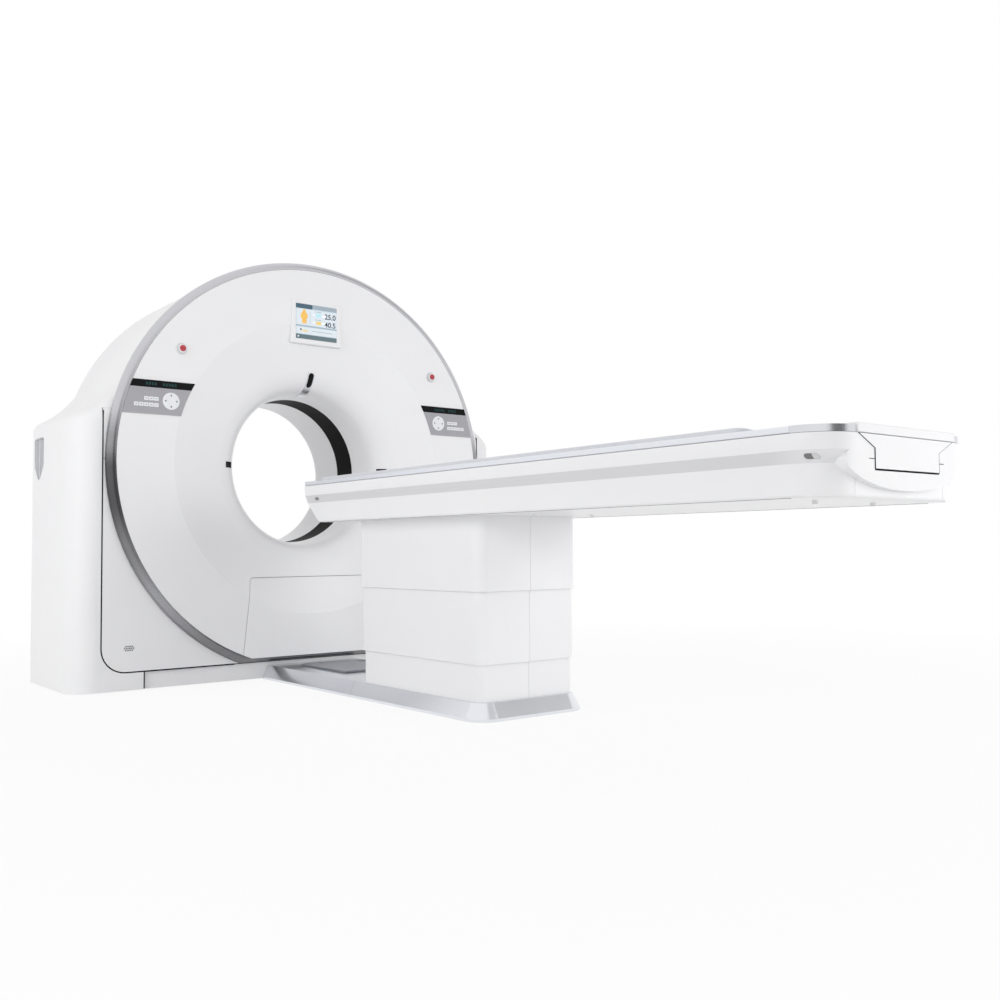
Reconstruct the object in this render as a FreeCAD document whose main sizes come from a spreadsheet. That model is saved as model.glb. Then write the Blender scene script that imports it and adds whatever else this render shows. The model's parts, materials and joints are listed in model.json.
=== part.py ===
import FreeCAD, Part
import Sketcher
import os
import re

# A whole-body CT scanner: a round-topped gantry with its patient bore, and the patient table in
# front of it. Millimetres. X runs to the right when facing the gantry's front, Y runs into the
# gantry along the bore, Z is up. The origin lies on the floor under the isocentre, which is the
# point on the bore's axis where the x-ray fan crosses it.

SIZES = [
    # gantry, overall
    ("isocentre_height", 953, "floor to the bore's axis"),
    ("front_depth", 335, "scan plane to the flat front face"),
    ("gantry_depth", 700, "front face to rear face"),
    ("cover_wall", 6, "wall of the moulded covers"),
    ("seam_gap", 0.8, "gap between neighbouring covers"),
    ("shadow_gap", 4, "open seam round the corner covers and over the plinth"),
    ("access_gap", 2.2, "open seam round the access panel"),
    ("joint_gap", 1.4, "open seam between two covers in one face"),
    ("corner_joint", 3, "open joint between the upper and lower corner covers"),
    ("floor_gap", 4, "covers above the floor"),
    # side covers
    ("arch_radius", 935, "outside of the arch"),
    ("arch_setback", 35, "front edge of the arch behind the front face"),
    ("arch_flange", 18, "width of the arch's turned-in front and rear edges"),
    ("side_half_width", 1075, "side face from the middle plane"),
    ("column_setback", 35, "front of the columns behind the front face"),
    ("column_front_radius", 110, "plan radius of the columns' front corners"),
    ("column_rear_radius", 100, "plan radius of the columns' rear corners"),
    ("shoulder_angle", 25, "where the shoulder runs into the arch, in degrees"),
    ("shoulder_radius", 434, "hollow curve from the column's top into the arch"),
    ("shoulder_front_round", 68, "rounding of the shoulders' front edges"),
    ("shoulder_rear_round", 44, "rounding of the shoulders' rear and side edges"),
    ("rear_flange", 55, "rear opening inside the arch"),
    ("rear_opening_foot", 98, "foot of that opening above the floor"),
    # front cover, ring and corner covers
    ("ring_outer_radius", 946, "silver ring, outside"),
    ("ring_width", 35, "silver ring, from its outside to its inside"),
    ("ring_round", 28, "rounding of the ring's front outer edge"),
    ("seam_height", 79, "seam over the plinth"),
    ("chord_height", 98, "inner edge of the ring's straight foot"),
    ("corner_seam_x", 952, "seam between corner cover and column"),
    ("corner_seam_radius", 100, "rounded lower corner of that seam"),
    ("corner_seam_top", 1160, "top of the corner covers"),
    ("corner_lap", 5, "how far the ring covers the corner covers' inner edge"),
    ("face_width", 241, "flat front face, from the ring to the circle where the funnel starts"),
    ("funnel_angle", 11.5, "slope of the funnel, in degrees"),
    ("throat_radius", 125, "rounding from the funnel into the bore"),
    ("lip_radius", 350, "inside of the bore at the covers' lips"),
    ("bore_radius", 342.3, "inside of the bore beside the x-ray window"),
    ("lining_joint", 0.3, "hairline joints that quarter the bore's lining and window"),
    ("front_cover_end", 171, "rear edge of the front cover in the bore, behind the front face"),
    ("front_liner_end", 264.5, "rear edge of the front liner"),
    ("window_ring_end", 410, "rear edge of the dark x-ray window"),
    ("window_wall", 3, "wall of the x-ray window"),
    ("rear_liner_end", 640, "rear edge of the rear liner"),
    ("plinth_joint_x", 779, "end joints of the plinth cover"),
    ("plinth_setback", 45.5, "plinth face behind the front face"),
    ("access_top", 450, "access panel, top edge"),
    ("access_top_half", 317, "access panel, half width at the top"),
    ("access_foot_half", 353.5, "access panel, half width near the foot"),
    ("access_foot", 125.5, "height at which that foot width is taken"),
    ("access_corner", 14, "access panel, rounded top corners"),
    # front controls
    ("panel_foot", 190, "control panels, lower edge above the axis"),
    ("panel_head", 333, "control panels, upper edge above the axis"),
    ("strip_foot", 302, "display strips, lower edge above the axis"),
    ("panel_thick", 3, "control panels above the cover"),
    ("keypad_thick", 0.6, "membrane keys above the panel"),
    ("pad_inset", 225, "round keypad inside the ring"),
    ("pad_rise", 250, "round keypad above the axis"),
    ("pad_radius", 36, "round keypad"),
    ("key_width", 17, "one membrane key"),
    ("key_high", 13, "one membrane key"),
    ("key_step", 21, "from key to key"),
    ("key_row_step", 26, "from the lower key row to the upper"),
    ("key_row_rise", 229, "lower key row above the axis"),
    ("key_inset", 170, "inner end of the key rows inside the ring"),
    ("stop_inset", 270, "emergency stops inside the ring"),
    ("stop_rise", 479, "emergency stops above the axis"),
    ("stop_head_radius", 18.5, "mushroom head"),
    ("stop_head_thick", 11, "mushroom head"),
    ("stop_stem_radius", 6, "its stem"),
    ("stop_stem_length", 34, "its stem"),
    ("stop_travel", 4, "how far the head is pushed in"),
    ("stop_collar_radius", 25, "collar under the head"),
    ("stop_collar_thick", 6, "collar under the head"),
    ("bezel_half", 127, "screen bezel, half width"),
    ("bezel_foot", 568, "screen bezel, lower edge above the axis"),
    ("bezel_head", 767, "screen bezel, upper edge above the axis"),
    ("bezel_proud", 5, "screen bezel in front of the cover"),
    ("bezel_deep", 26, "screen bezel behind the cover's face"),
    ("screen_half", 106, "screen, half width"),
    ("screen_foot", 590, "screen, lower edge above the axis"),
    ("screen_head", 752, "screen, upper edge above the axis"),
    ("screen_thick", 8, "screen"),
    ("strip_half", 17, "camera strip over the bore, half width"),
    ("strip_proud", 2, "camera strip and laser windows in front of the funnel"),
    ("strip_seat", 0.2, "their seat in front of the funnel"),
    ("strip_top_radius", 447, "upper end of the camera strip, from the axis"),
    ("laser_half", 13, "laser windows, half height"),
    ("laser_inner", 377, "laser windows, inner end from the axis"),
    ("laser_outer", 415, "laser windows, outer end from the axis"),
    ("speaker_x", 841, "loudspeaker holes from the middle plane"),
    ("speaker_z", 175, "loudspeaker holes above the floor"),
    ("speaker_hole", 2.2, "radius of one loudspeaker hole"),
    ("speaker_step", 9, "from hole to hole"),
    ("grip_front", 440.5, "grip recess, front edge behind the front face"),
    ("grip_rear", 584, "grip recess, rear edge behind the front face"),
    ("grip_top", 1070, "grip recess, top"),
    ("grip_shoulder", 947, "where its sides start to close in"),
    ("grip_point", 886.5, "its rounded point"),
    ("grip_divider", 516, "its divider behind the front face"),
    ("grip_rib", 7, "thickness of the divider"),
    ("grip_deep", 34, "depth of the recess"),
    ("grip_wall", 3, "wall of the recess insert"),
    ("grip_round", 16, "its upper corners"),
    # inside the gantry
    ("frame_margin", 75, "base frame inside the side faces"),
    ("frame_beam", 70, "base frame beams, height and width"),
    ("frame_front", 210, "base frame, front edge before the scan plane"),
    ("frame_rear", 255, "base frame and mounting plate, rear face"),
    ("plate_thick", 25, "mounting plate"),
    ("plate_inset", 63, "mounting plate inside the arch"),
    ("plate_foot_half", 720, "mounting plate, half width of the foot"),
    ("plate_foot_top", 620, "mounting plate, top of the foot"),
    ("plate_hole", 450, "mounting plate, hole"),
    ("anchor_radius", 9, "anchor holes in the base frame"),
    ("anchor_inset", 70, "anchor holes inside the base frame's ends"),
    ("bearing_outer_radius", 560, "fixed bearing ring, outside"),
    ("bearing_race_radius", 500, "between the bearing rings"),
    ("bearing_inner_radius", 441, "turning bearing ring, inside"),
    ("bearing_depth", 60, "bearing rings, front to back"),
    ("bearing_gap", 0.3, "between the bearing rings"),
    ("bearing_set", 5, "turning ring in front of the fixed one"),
    ("disc_thick", 30, "rotor disc"),
    ("disc_inset", 75, "rotor disc inside the arch"),
    ("disc_hole", 392, "rotor disc, hole"),
    ("slip_radius", 437, "slip ring, outside"),
    ("slip_end", 300, "slip ring, rear end behind the scan plane"),
    ("slip_groove", 4, "depth of the grooves between the tracks"),
    ("slip_track", 14, "width of one track"),
    ("brush_half", 60, "brush block, half width"),
    ("brush_high", 80, "brush block, height"),
    ("brush_deep", 42, "brush block, front to back"),
    ("brush_gap", 0.5, "brushes off the tracks at their mean wear"),
    ("tube_orbit", 620, "x-ray tube housing from the axis"),
    ("tube_radius", 92, "x-ray tube housing"),
    ("tube_front", 120, "x-ray tube housing before the scan plane"),
    ("focus_orbit", 600, "focal spot from the axis"),
    ("collimator_half", 80, "collimator, half width"),
    ("collimator_inner", 425, "collimator, inner face from the axis"),
    ("collimator_front", 70, "collimator before the scan plane"),
    ("detector_focus", 1040, "detector face from the focal spot"),
    ("detector_deep", 58, "detector, face to back"),
    ("detector_half", 450, "detector, half width"),
    ("detector_front", 60, "detector before the scan plane"),
    ("unit_inner", 560, "generator and heat exchanger, inner face"),
    ("unit_outer", 790, "generator and heat exchanger, outer face"),
    ("unit_half", 150, "generator and heat exchanger, half height"),
    ("unit_front", 100, "generator and heat exchanger before the scan plane"),
    ("weight_inner", 640, "counterweight, inside radius"),
    ("weight_outer", 845, "counterweight, outside radius"),
    ("weight_near", 535, "counterweight from the middle plane"),
    ("weight_drop", 180, "counterweight, top below the axis"),
    ("weight_thick", 36.9, "counterweight, which balances the rotor"),
    ("motor_margin", 175, "drive motor's axis inside the side face"),
    ("motor_drop", 593, "drive motor below the bore's axis"),
    ("motor_radius", 85, "drive motor"),
    ("motor_length", 200, "drive motor"),
    ("bracket_thick", 14, "motor bracket"),
    ("bracket_half", 92, "motor bracket, half width"),
    ("pulley_radius", 60, "motor pulley"),
    ("pulley_rim", 4, "flanges of the motor pulley above the belt seat"),
    ("shaft_radius", 15, "motor shaft"),
    ("shaft_fit", 0.06, "radial clearance of the motor shaft"),
    ("belt_width", 20, "drive belt"),
    ("belt_thick", 4, "drive belt"),
    ("belt_gap", 0.3, "drive belt off the disc and the pulley"),
    # table beam
    ("nose_y", 822, "front end of the beam before the scan plane, at the rail"),
    ("tail_y", 3269, "tail of the beam before the scan plane"),
    ("beam_half", 317, "beam, half width"),
    ("beam_top", 848, "top of the side rails"),
    ("rail_low", 831, "underside of the side rails"),
    ("band_top", 791, "leaning band on the beam's sides, upper edge"),
    ("band_low", 761, "leaning band, lower edge"),
    ("lower_inset", 9, "beam's lower sides inside its upper sides"),
    ("lower_corner", 118, "plan radius of the lower tail corners"),
    ("beam_low", 683, "underside of the beam"),
    ("beam_round", 8, "lower edge of the beam's sides"),
    ("pan_gap", 3, "open seam round the bottom pan"),
    ("panel_wall", 5, "wall of the side panels"),
    ("rail_width", 60, "side rails, across"),
    ("rail_deep", 4, "deck sides above the rails' underside"),
    ("nose_slope", 104, "how far the nose runs back at the underside"),
    ("tail_corner", 105, "plan radius of the tail's corners"),
    ("tail_seam", 107.5, "end of the side panels before the tail"),
    ("cap_half", 193, "seam of the tail cap from the middle"),
    ("lip_half", 214, "tail lip, half width"),
    ("lip_high", 854, "tail lip, top"),
    ("lip_proud", 5, "tail lip behind the tail cap"),
    ("inset_half", 141, "inset panel, half width"),
    ("inset_top_half", 206.8, "inset panel, half width at its top"),
    ("inset_low", 750, "inset panel, lower edge"),
    ("inset_high", 798, "inset panel, upper edge"),
    ("inset_proud", 2, "inset panel in front of its recess"),
    ("inset_foot_gap", 4, "open seam under the inset panel"),
    ("tick_height", 773, "short joints beside the inset panel"),
    ("tick_end", 165, "their outer ends from the middle"),
    ("cap_seam_top", 725, "upper end of the tail cap's open side seams"),
    ("deck_thick", 6, "table deck under the cradle"),
    ("deck_top", 825, "top of the table deck"),
    ("cap_step", 20, "tail cap, lower part set back"),
    ("scallop_half", 250, "scallop on the tail cap, half width"),
    ("scallop_top", 769, "scallop, upper ends"),
    ("scallop_low", 701.5, "scallop, lowest point"),
    ("button_length", 30, "side buttons"),
    ("button_high", 12, "side buttons"),
    ("button_z", 776, "side buttons above the floor"),
    ("button_front", 918, "front pair before the scan plane"),
    ("button_rear", 3206, "rear pair before the scan plane"),
    ("button_proud", 1, "side buttons out of the groove"),
    ("button_deep", 16, "front side buttons, inner end from the upper side"),
    ("button_deep_rear", 44, "rear side buttons, in the rounded corner, likewise"),
    ("button_fit", 0.3, "clearance round the side buttons"),
    ("foot_radius", 7, "screw feet under the beam"),
    ("foot_high", 9, "screw feet under the beam"),
    ("pan_foot_x", 127, "screw feet from the middle"),
    ("pan_foot_front", 2035, "front pair of screw feet before the scan plane"),
    ("pan_foot_rear", 3095, "rear pair of screw feet"),
    # beam frame, cradle and its drive
    ("channel_half", 235, "frame channels from the middle, outer face"),
    ("channel_width", 60, "frame channels, width"),
    ("channel_low", 700, "frame channels, underside"),
    ("channel_wall", 6, "frame channels, wall"),
    ("frame_nose", 950, "frame channels, front end"),
    ("frame_tail", 3120, "frame channels, tail end"),
    ("cradle_front", 820, "cradle, front end before the scan plane"),
    ("cradle_length", 2155, "cradle"),
    ("cradle_half", 250, "cradle, half width"),
    ("cradle_edge", 868, "cradle, top of its edges"),
    ("cradle_under", 851, "cradle, underside of its edges"),
    ("cradle_belly", 21, "belly of the cradle under its edges"),
    ("cradle_flat", 185, "flat of the belly, half width"),
    ("cradle_rim", 12, "rim along the cradle's edges"),
    ("cradle_dip", 16, "hollow of the cradle in the middle"),
    ("cradle_round", 40, "plan radius of the cradle's corners"),
    ("glide_half", 150, "glide rails from the middle"),
    ("glide_width", 30, "glide rails"),
    ("glide_gap", 0.3, "cradle above its glide rails"),
    ("drive_length", 260, "cradle drive"),
    ("drive_width", 120, "cradle drive"),
    ("drive_high", 80, "cradle drive"),
    ("drive_place", 2000, "cradle drive, front end before the scan plane"),
    # pedestal and lift
    ("upper_half", 223.7, "upper pedestal cover, half width"),
    ("upper_tail", 1862, "upper pedestal cover, tail face before the scan plane"),
    ("upper_front", 1078, "upper pedestal cover, front face"),
    ("upper_low", 428, "upper pedestal cover, lower edge"),
    ("cover_step", 7.6, "from one pedestal cover to the next inside it"),
    ("pedestal_wall", 4, "wall of the pedestal covers"),
    ("pedestal_round", 45, "plan radius of their corners"),
    ("middle_low", 184, "middle pedestal cover, lower edge"),
    ("cover_lap", 16, "lap of one pedestal cover inside the next"),
    ("lower_low", 60, "lower pedestal cover, lower edge"),
    ("end_seam_deep", 2, "upright seam in the pedestal's tail face, depth"),
    ("skirt_seam_y", 1050, "skirt's cross seam before the scan plane"),
    ("lift_travel", 120, "how far the table goes down with the cradle in the bore"),
    ("base_thick", 20, "table base plate"),
    ("base_margin", 0.3, "table base plate inside the skirt"),
    ("table_anchor_x", 150, "table anchor holes from the middle"),
    ("table_anchor_y", 330, "table anchor holes from the pedestal's middle"),
    ("column_low_half", 62, "lift columns, outer tube, half width"),
    ("column_wall", 8, "lift columns, wall of each tube"),
    ("column_play", 0.3, "lift columns, clearance between the tubes"),
    ("column_spread", 190, "lift columns from the pedestal's middle"),
    ("column_low_top", 335, "lift columns, outer tube, top"),
    ("column_mid_low", 190, "lift columns, middle tube, lower end"),
    ("column_mid_top", 505, "lift columns, middle tube, top"),
    ("inner_tube_low", 362, "lift columns, inner tube, lower end"),
    ("head_thick", 12, "head plate on the lift columns"),
    ("skirt_half", 244, "skirt, half width at the floor"),
    ("skirt_tail", 1887, "skirt, tail end before the scan plane"),
    ("skirt_top", 60, "skirt, top"),
    ("skirt_slope", 26, "how far the skirt leans in"),
    ("skirt_lip", 10, "upright foot of the skirt"),
    ("skirt_corner", 80, "plan radius of the skirt's corners"),
    ("skirt_wall", 4, "wall of the skirt"),
    ("hatch_half", 120, "cable hatch on the skirt, half width"),
    ("hatch_front", 420, "cable hatch, front edge before the scan plane"),
    ("hatch_rear", 800, "cable hatch, rear edge"),
    ("hatch_high", 9, "cable hatch above the skirt"),
    ("hatch_round", 10, "cable hatch, corner radius"),
    ("actuator_radius", 48, "lift motor"),
    ("actuator_length", 190, "lift motor"),
]

# What follows from the sizes above.
DERIVED = [
    ("ring_inner_radius", "ring_outer_radius - ring_width", "silver ring, inside"),
    ("crease_radius", "ring_inner_radius - face_width", "circle where the funnel starts"),
    ("rear_opening_radius", "arch_radius - rear_flange", "opening for the rear cover"),
    ("panel_low", "isocentre_height + panel_foot", "control panels, lower edge"),
    ("panel_high", "isocentre_height + panel_head", "control panels, upper edge"),
    ("strip_low", "isocentre_height + strip_foot", "display strips, lower edge"),
    ("bezel_low", "isocentre_height + bezel_foot", "screen bezel, lower edge"),
    ("bezel_high", "isocentre_height + bezel_head", "screen bezel, upper edge"),
    ("screen_low", "isocentre_height + screen_foot", "screen, lower edge"),
    ("screen_high", "isocentre_height + screen_head", "screen, upper edge"),
    ("pad_x", "ring_inner_radius - pad_inset", "round keypad from the middle plane"),
    ("pad_z", "isocentre_height + pad_rise", "round keypad above the floor"),
    ("key_row_z", "isocentre_height + key_row_rise", "lower key row above the floor"),
    ("key_inner_x", "ring_inner_radius - key_inset", "inner end of the key rows"),
    ("stop_x", "ring_inner_radius - stop_inset", "emergency stops from the middle plane"),
    ("stop_z", "isocentre_height + stop_rise", "emergency stops above the floor"),
    ("frame_half", "side_half_width - frame_margin", "base frame, half length"),
    ("anchor_x", "frame_half - anchor_inset", "anchor holes from the middle plane"),
    ("motor_x", "side_half_width - motor_margin", "drive motor from the middle plane"),
    ("motor_z", "isocentre_height - motor_drop", "drive motor above the floor"),
    ("plate_radius", "arch_radius - plate_inset", "mounting plate, outside"),
    ("disc_radius", "arch_radius - disc_inset", "rotor disc, outside"),
]

CELLS = [(alias, str(number), meaning) for alias, number, meaning in SIZES]
CELLS += [(alias, f"={formula}", meaning) for alias, formula, meaning in DERIVED]
ALIASES = {alias for alias, content, meaning in CELLS}

document = FreeCAD.newDocument("ct_scanner")
sheet = document.addObject("Spreadsheet::Sheet", "Sizes")
for row, (alias, content, meaning) in enumerate(CELLS, start=1):
    sheet.set(f"A{row}", meaning)
    sheet.set(f"B{row}", content)
    sheet.setAlias(f"B{row}", alias)
document.recompute()

NODES = {}


# ---------------------------------------------------------------- small modelling helpers

def bound(text):
    """The expression, with each size named by its cell."""
    return re.sub(r"[a-z][a-z_0-9]*", lambda word: f"Sizes.{word[0]}" if word[0] in ALIASES else word[0],
        str(text))


def number(text):
    return float(sheet.evalExpression(bound(text)))


def node(name, solid):
    """Keeps one finished piece under the name of its file."""
    solid.Label = name
    NODES[name] = solid
    return solid


def box(name, x, y, z):
    """A box between two planes on each axis."""
    solid = document.addObject("Part::Box", name)
    for axis, size, (low, high) in zip("xyz", ("Length", "Width", "Height"), (x, y, z)):
        solid.setExpression(size, bound(f"({high}) - ({low})"))
        solid.setExpression(f"Placement.Base.{axis}", bound(low))
    return solid


TURNS = {
    "X": FreeCAD.Rotation(FreeCAD.Vector(0, 1, 0), 90),
    "Y": FreeCAD.Rotation(FreeCAD.Vector(1, 0, 0), -90),
    "Z": FreeCAD.Rotation(),
}


def cylinder(name, axis, ends, radius, centre):
    """A cylinder along one axis; centre gives the other two places in X, Y, Z order."""
    solid = document.addObject("Part::Cylinder", name)
    solid.Placement = FreeCAD.Placement(FreeCAD.Vector(), TURNS[axis])
    solid.setExpression("Radius", bound(radius))
    solid.setExpression("Height", bound(f"({ends[1]}) - ({ends[0]})"))
    places = list(centre)
    places.insert("XYZ".index(axis), ends[0])
    for letter, place in zip("xyz", places):
        solid.setExpression(f"Placement.Base.{letter}", bound(place))
    return solid


def fuse(name, *solids):
    result = document.addObject("Part::MultiFuse", name)
    result.Shapes = list(solids)
    return result


def cut(name, base, *tools):
    result = document.addObject("Part::Cut", name)
    result.Base = base
    result.Tool = tools[0] if len(tools) == 1 else fuse(f"{name}_tools", *tools)
    return result


def common(name, base, tool):
    result = document.addObject("Part::Common", name)
    result.Base = base
    result.Tool = tool
    return result


def mirrored(name, source):
    """The same piece on the other side of the middle plane."""
    result = document.addObject("Part::Mirroring", name)
    result.Source = source
    result.Normal = FreeCAD.Vector(1, 0, 0)
    return result


def pair(name, source):
    """A piece and its mirror image, kept together as two solids."""
    return fuse(name, source, mirrored(f"{name}_right", source))


def outline(body, name, role, offset, points, arcs=None):
    """A closed sketch whose corners, and arc radii, are bound to the sheet.

    arcs gives, for an edge from one corner to the next, its centre and radius.
    """
    arcs = arcs or {}
    sketch = body.newObject("Sketcher::SketchObject", name)
    plane = next(part for part in body.Origin.OriginFeatures if part.Role == role)
    sketch.AttachmentSupport = (plane, [""])
    sketch.MapMode = "FlatFace"
    sketch.setExpression("AttachmentOffset.Base.z", bound(offset))
    corners = [FreeCAD.Vector(number(across), number(up), 0) for across, up in points]
    half_circles = []
    for index, start in enumerate(corners):
        finish = corners[(index + 1) % len(corners)]
        if index in arcs:
            centre = FreeCAD.Vector(number(arcs[index][0]), number(arcs[index][1]), 0)
            toward = (start + finish) * 0.5 - centre
            if toward.Length < 1e-6:
                half_circles.append(index)
                toward = FreeCAD.Vector(finish.y - start.y, start.x - finish.x, 0)
            middle = centre + toward.normalize() * number(arcs[index][2])
            sketch.addGeometry(Part.Arc(start, middle, finish), False)
        else:
            sketch.addGeometry(Part.LineSegment(start, finish), False)
    first = [1 if sketch.getPoint(index, 1).distanceToPoint(corner) < 1e-6 else 2
             for index, corner in enumerate(corners)]
    for index, (across, up) in enumerate(points):
        following = (index + 1) % len(points)
        sketch.addConstraint(Sketcher.Constraint(
            "Coincident", index, 3 - first[index], following, first[following]))
        for kind, axis, place, now in (("DistanceX", -2, across, corners[index].x),
                                       ("DistanceY", -1, up, corners[index].y)):
            if place == "0":
                sketch.addConstraint(Sketcher.Constraint("PointOnObject", index, first[index], axis))
            else:
                held = sketch.addConstraint(Sketcher.Constraint(kind, index, first[index], now))
                sketch.setExpression(f"Constraints[{held}]", bound(place))
        if index in half_circles:
            held = sketch.addConstraint(Sketcher.Constraint("DistanceX", index, 3, number(arcs[index][0])))
            sketch.setExpression(f"Constraints[{held}]", bound(arcs[index][0]))
        elif index in arcs:
            held = sketch.addConstraint(Sketcher.Constraint("Radius", index, number(arcs[index][2])))
            sketch.setExpression(f"Constraints[{held}]", bound(arcs[index][2]))
    return sketch


ROLES = {"X": "YZ_Plane", "Y": "XZ_Plane", "Z": "XY_Plane"}


def pad(name, axis, ends, points, arcs=None):
    """A body raised from an outline between two planes square to one axis."""
    body = document.addObject("PartDesign::Body", name)
    offset = f"-({ends[0]})" if axis == "Y" else ends[0]
    sketch = outline(body, f"{name}_outline", ROLES[axis], offset, points, arcs)
    feature = body.newObject("PartDesign::Pad", f"{name}_pad")
    feature.Profile = sketch
    feature.setExpression("Length", bound(f"({ends[1]}) - ({ends[0]})"))
    feature.Reversed = axis == "Y"
    sketch.Visibility = False
    return body


def round_edges(body, name, radius, chosen):
    """Rounds the body's edges that the test chooses."""
    document.recompute()
    base = body.Tip
    names = [f"Edge{index}" for index, edge in enumerate(base.Shape.Edges, start=1) if chosen(edge)]
    feature = body.newObject("PartDesign::Fillet", name)
    feature.Base = (base, names)
    feature.setExpression("Radius", bound(radius))
    return feature


def along(edge, axis):
    """True where the edge is a straight line along one axis."""
    if not isinstance(edge.Curve, Part.Line):
        return False
    return abs(getattr(edge.tangentAt(edge.FirstParameter), axis)) > 0.999


def turned(name, points, arcs=None):
    """A ring turned round the bore's axis, from corners given as depth and radius."""
    body = document.addObject("PartDesign::Body", name)
    sketch = outline(body, f"{name}_outline", "YZ_Plane", "0", points, arcs)
    feature = body.newObject("PartDesign::Revolution", f"{name}_turn")
    feature.Profile = sketch
    feature.ReferenceAxis = (sketch, ["H_Axis"])
    feature.Angle = 360
    body.setExpression("Placement.Base.z", bound("isocentre_height"))
    return body


def ring(name, ends, inner, outer):
    """A plain ring round the bore's axis."""
    return turned(name, [(ends[0], inner), (ends[1], inner), (ends[1], outer), (ends[0], outer)])


def rounded_block(name, x, y, z, front_radius, rear_radius):
    """A block whose upright edges are rounded, front and rear apart."""
    corners = [(x[0], y[0]), (x[1], y[0]), (x[1], y[1]), (x[0], y[1])]
    body = pad(name, "Z", z, corners)
    middle = (number(y[0]) + number(y[1])) / 2
    for where, radius, side in (("front", front_radius, -1), ("rear", rear_radius, 1)):
        round_edges(body, f"{name}_{where}", radius,
                    lambda edge: along(edge, "z") and (edge.CenterOfMass.y - middle) * side > 0)
    return body


FAR = "2 * tail_y"
FRONT = "(-front_depth)"
REAR = "(gantry_depth - front_depth)"
SKIRT_FRONT = f"({FRONT} + plinth_setback - seam_gap)"
COLUMN_MIDDLE = "(-(upper_tail + upper_front) / 2)"


# ---------------------------------------------------------------- gantry covers

def housing_form(name, inset):
    """The whole outside of the gantry behind the ring, drawn in by an inset."""
    arch = common(f"{name}_arch",
                  cylinder(f"{name}_arch_round", "Y", (f"{FRONT} + arch_setback + {inset}",
                  f"{REAR} - {inset}"),
                           f"arch_radius - {inset}", ("0", "isocentre_height")),
                  box(f"{name}_arch_space", (f"-{FAR}", FAR), (f"-{FAR}", FAR), ("isocentre_height", FAR)))
    half = f"side_half_width - {inset}"
    block = rounded_block(
        f"{name}_block", (f"-({half})", half),
        (f"{FRONT} + column_setback + {inset}", f"{REAR} - {inset}"),
        ("floor_gap", "isocentre_height + arch_radius * sin(shoulder_angle)"),
        f"column_front_radius - {inset}", f"column_rear_radius - {inset}")
    reach = "(arch_radius + shoulder_radius)"
    blends = [cylinder(f"{name}_blend_{side}", "Y", (f"-{FAR}", FAR), f"shoulder_radius + {inset}",
                       (f"{sign} * {reach} * cos(shoulder_angle)",
                        f"isocentre_height + {reach} * sin(shoulder_angle)"))
              for side, sign in (("left", "-1"), ("right", "1"))]
    columns = cut(f"{name}_columns", block, *blends)
    return fuse(name, arch, shoulders_rounded(f"{name}_rounded", columns, inset))


def shoulders_rounded(name, columns, inset):
    """Rounds the upper edges of the two columns: wide in front, narrower at the side and rear."""
    document.recompute()
    front_round = number(f"shoulder_front_round - {inset}")
    rear_round = number(f"shoulder_rear_round - {inset}")
    front_end = number(f"{FRONT} + column_setback + column_front_radius")
    rear_start = number(f"{REAR} - column_rear_radius")
    top = number("isocentre_height + arch_radius * sin(shoulder_angle)")
    axis_height = number("isocentre_height")
    chosen = []
    for index, edge in enumerate(columns.Shape.Edges, start=1):
        lowest = edge.BoundBox.ZMin
        if along(edge, "z") or lowest > top - 1e-3 or lowest < axis_height:
            continue
        radii = []
        for place in (edge.FirstParameter, edge.LastParameter):
            share = (edge.valueAt(place).y - front_end) / (rear_start - front_end)
            share = min(max(share, 0), 1)
            radii.append(front_round + share * (rear_round - front_round))
        chosen.append((index, *radii))
    rounded = document.addObject("Part::Fillet", name)
    rounded.Base = columns
    rounded.Edges = chosen
    return rounded


def corner_region(name, margin, ends, top):
    """The front region outside the ring that the two corner covers fill, grown by a margin."""
    half = f"(corner_seam_x + {margin})"
    low = f"(seam_height - {margin})"
    radius = f"(corner_seam_radius + {margin})"
    return pad(name, "Y", ends,
               [(f"-{half}", top), (f"-{half}", f"{low} + {radius}"),
                (f"-{half} + {radius}", low), (f"{half} - {radius}", low),
                (half, f"{low} + {radius}"), (half, top)],
               {1: (f"-{half} + {radius}", f"{low} + {radius}", radius),
                3: (f"{half} - {radius}", f"{low} + {radius}", radius)})


def side_covers():
    """Two moulded shells that meet over the arch; each has its column and half of the arch."""
    shell = cut("housing_shell", housing_form("housing_outer", "0"), housing_form("housing_inner",
        "cover_wall"))
    front_hole = cylinder("front_hole", "Y", (f"-{FAR}", "0"), "arch_radius - arch_flange",
                          ("0", "isocentre_height"))
    corner_hole = corner_region("corner_hole", "shadow_gap", (f"-{FAR}", "0"), "corner_seam_top + seam_gap")
    rear_hole = common("rear_hole",
                       cylinder("rear_hole_round", "Y", ("0", FAR), "rear_opening_radius",
                                ("0", "isocentre_height")),
                       box("rear_hole_foot", (f"-{FAR}", FAR), ("0", FAR), ("rear_opening_foot", FAR)))
    plinth_hole = box("plinth_hole", ("-plinth_joint_x - joint_gap", "plinth_joint_x + joint_gap"),
                      (f"-{FAR}", "0"), ("0", "seam_height"))
    skirt_hole = box("foot_room", ("-plinth_joint_x", "plinth_joint_x"), (REAR + " - cover_wall * 2", FAR),
                     ("0", "floor_gap * 2"))
    open_shell = cut("open_shell", shell, front_hole, corner_hole, rear_hole, plinth_hole, skirt_hole)
    left_half = common("left_half", open_shell,
                       box("left_space", (f"-{FAR}", "-seam_gap / 2"), (f"-{FAR}", FAR), ("0", FAR)))
    left = cut("left_cover", left_half, grip_form("grip_hole", "seam_gap / 2", "-side_half_width - 1",
        "grip_deep"))
    node("left_side_cover", left)
    node("right_side_cover", mirrored("right_cover", left))
    corner_covers(shell)


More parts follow.
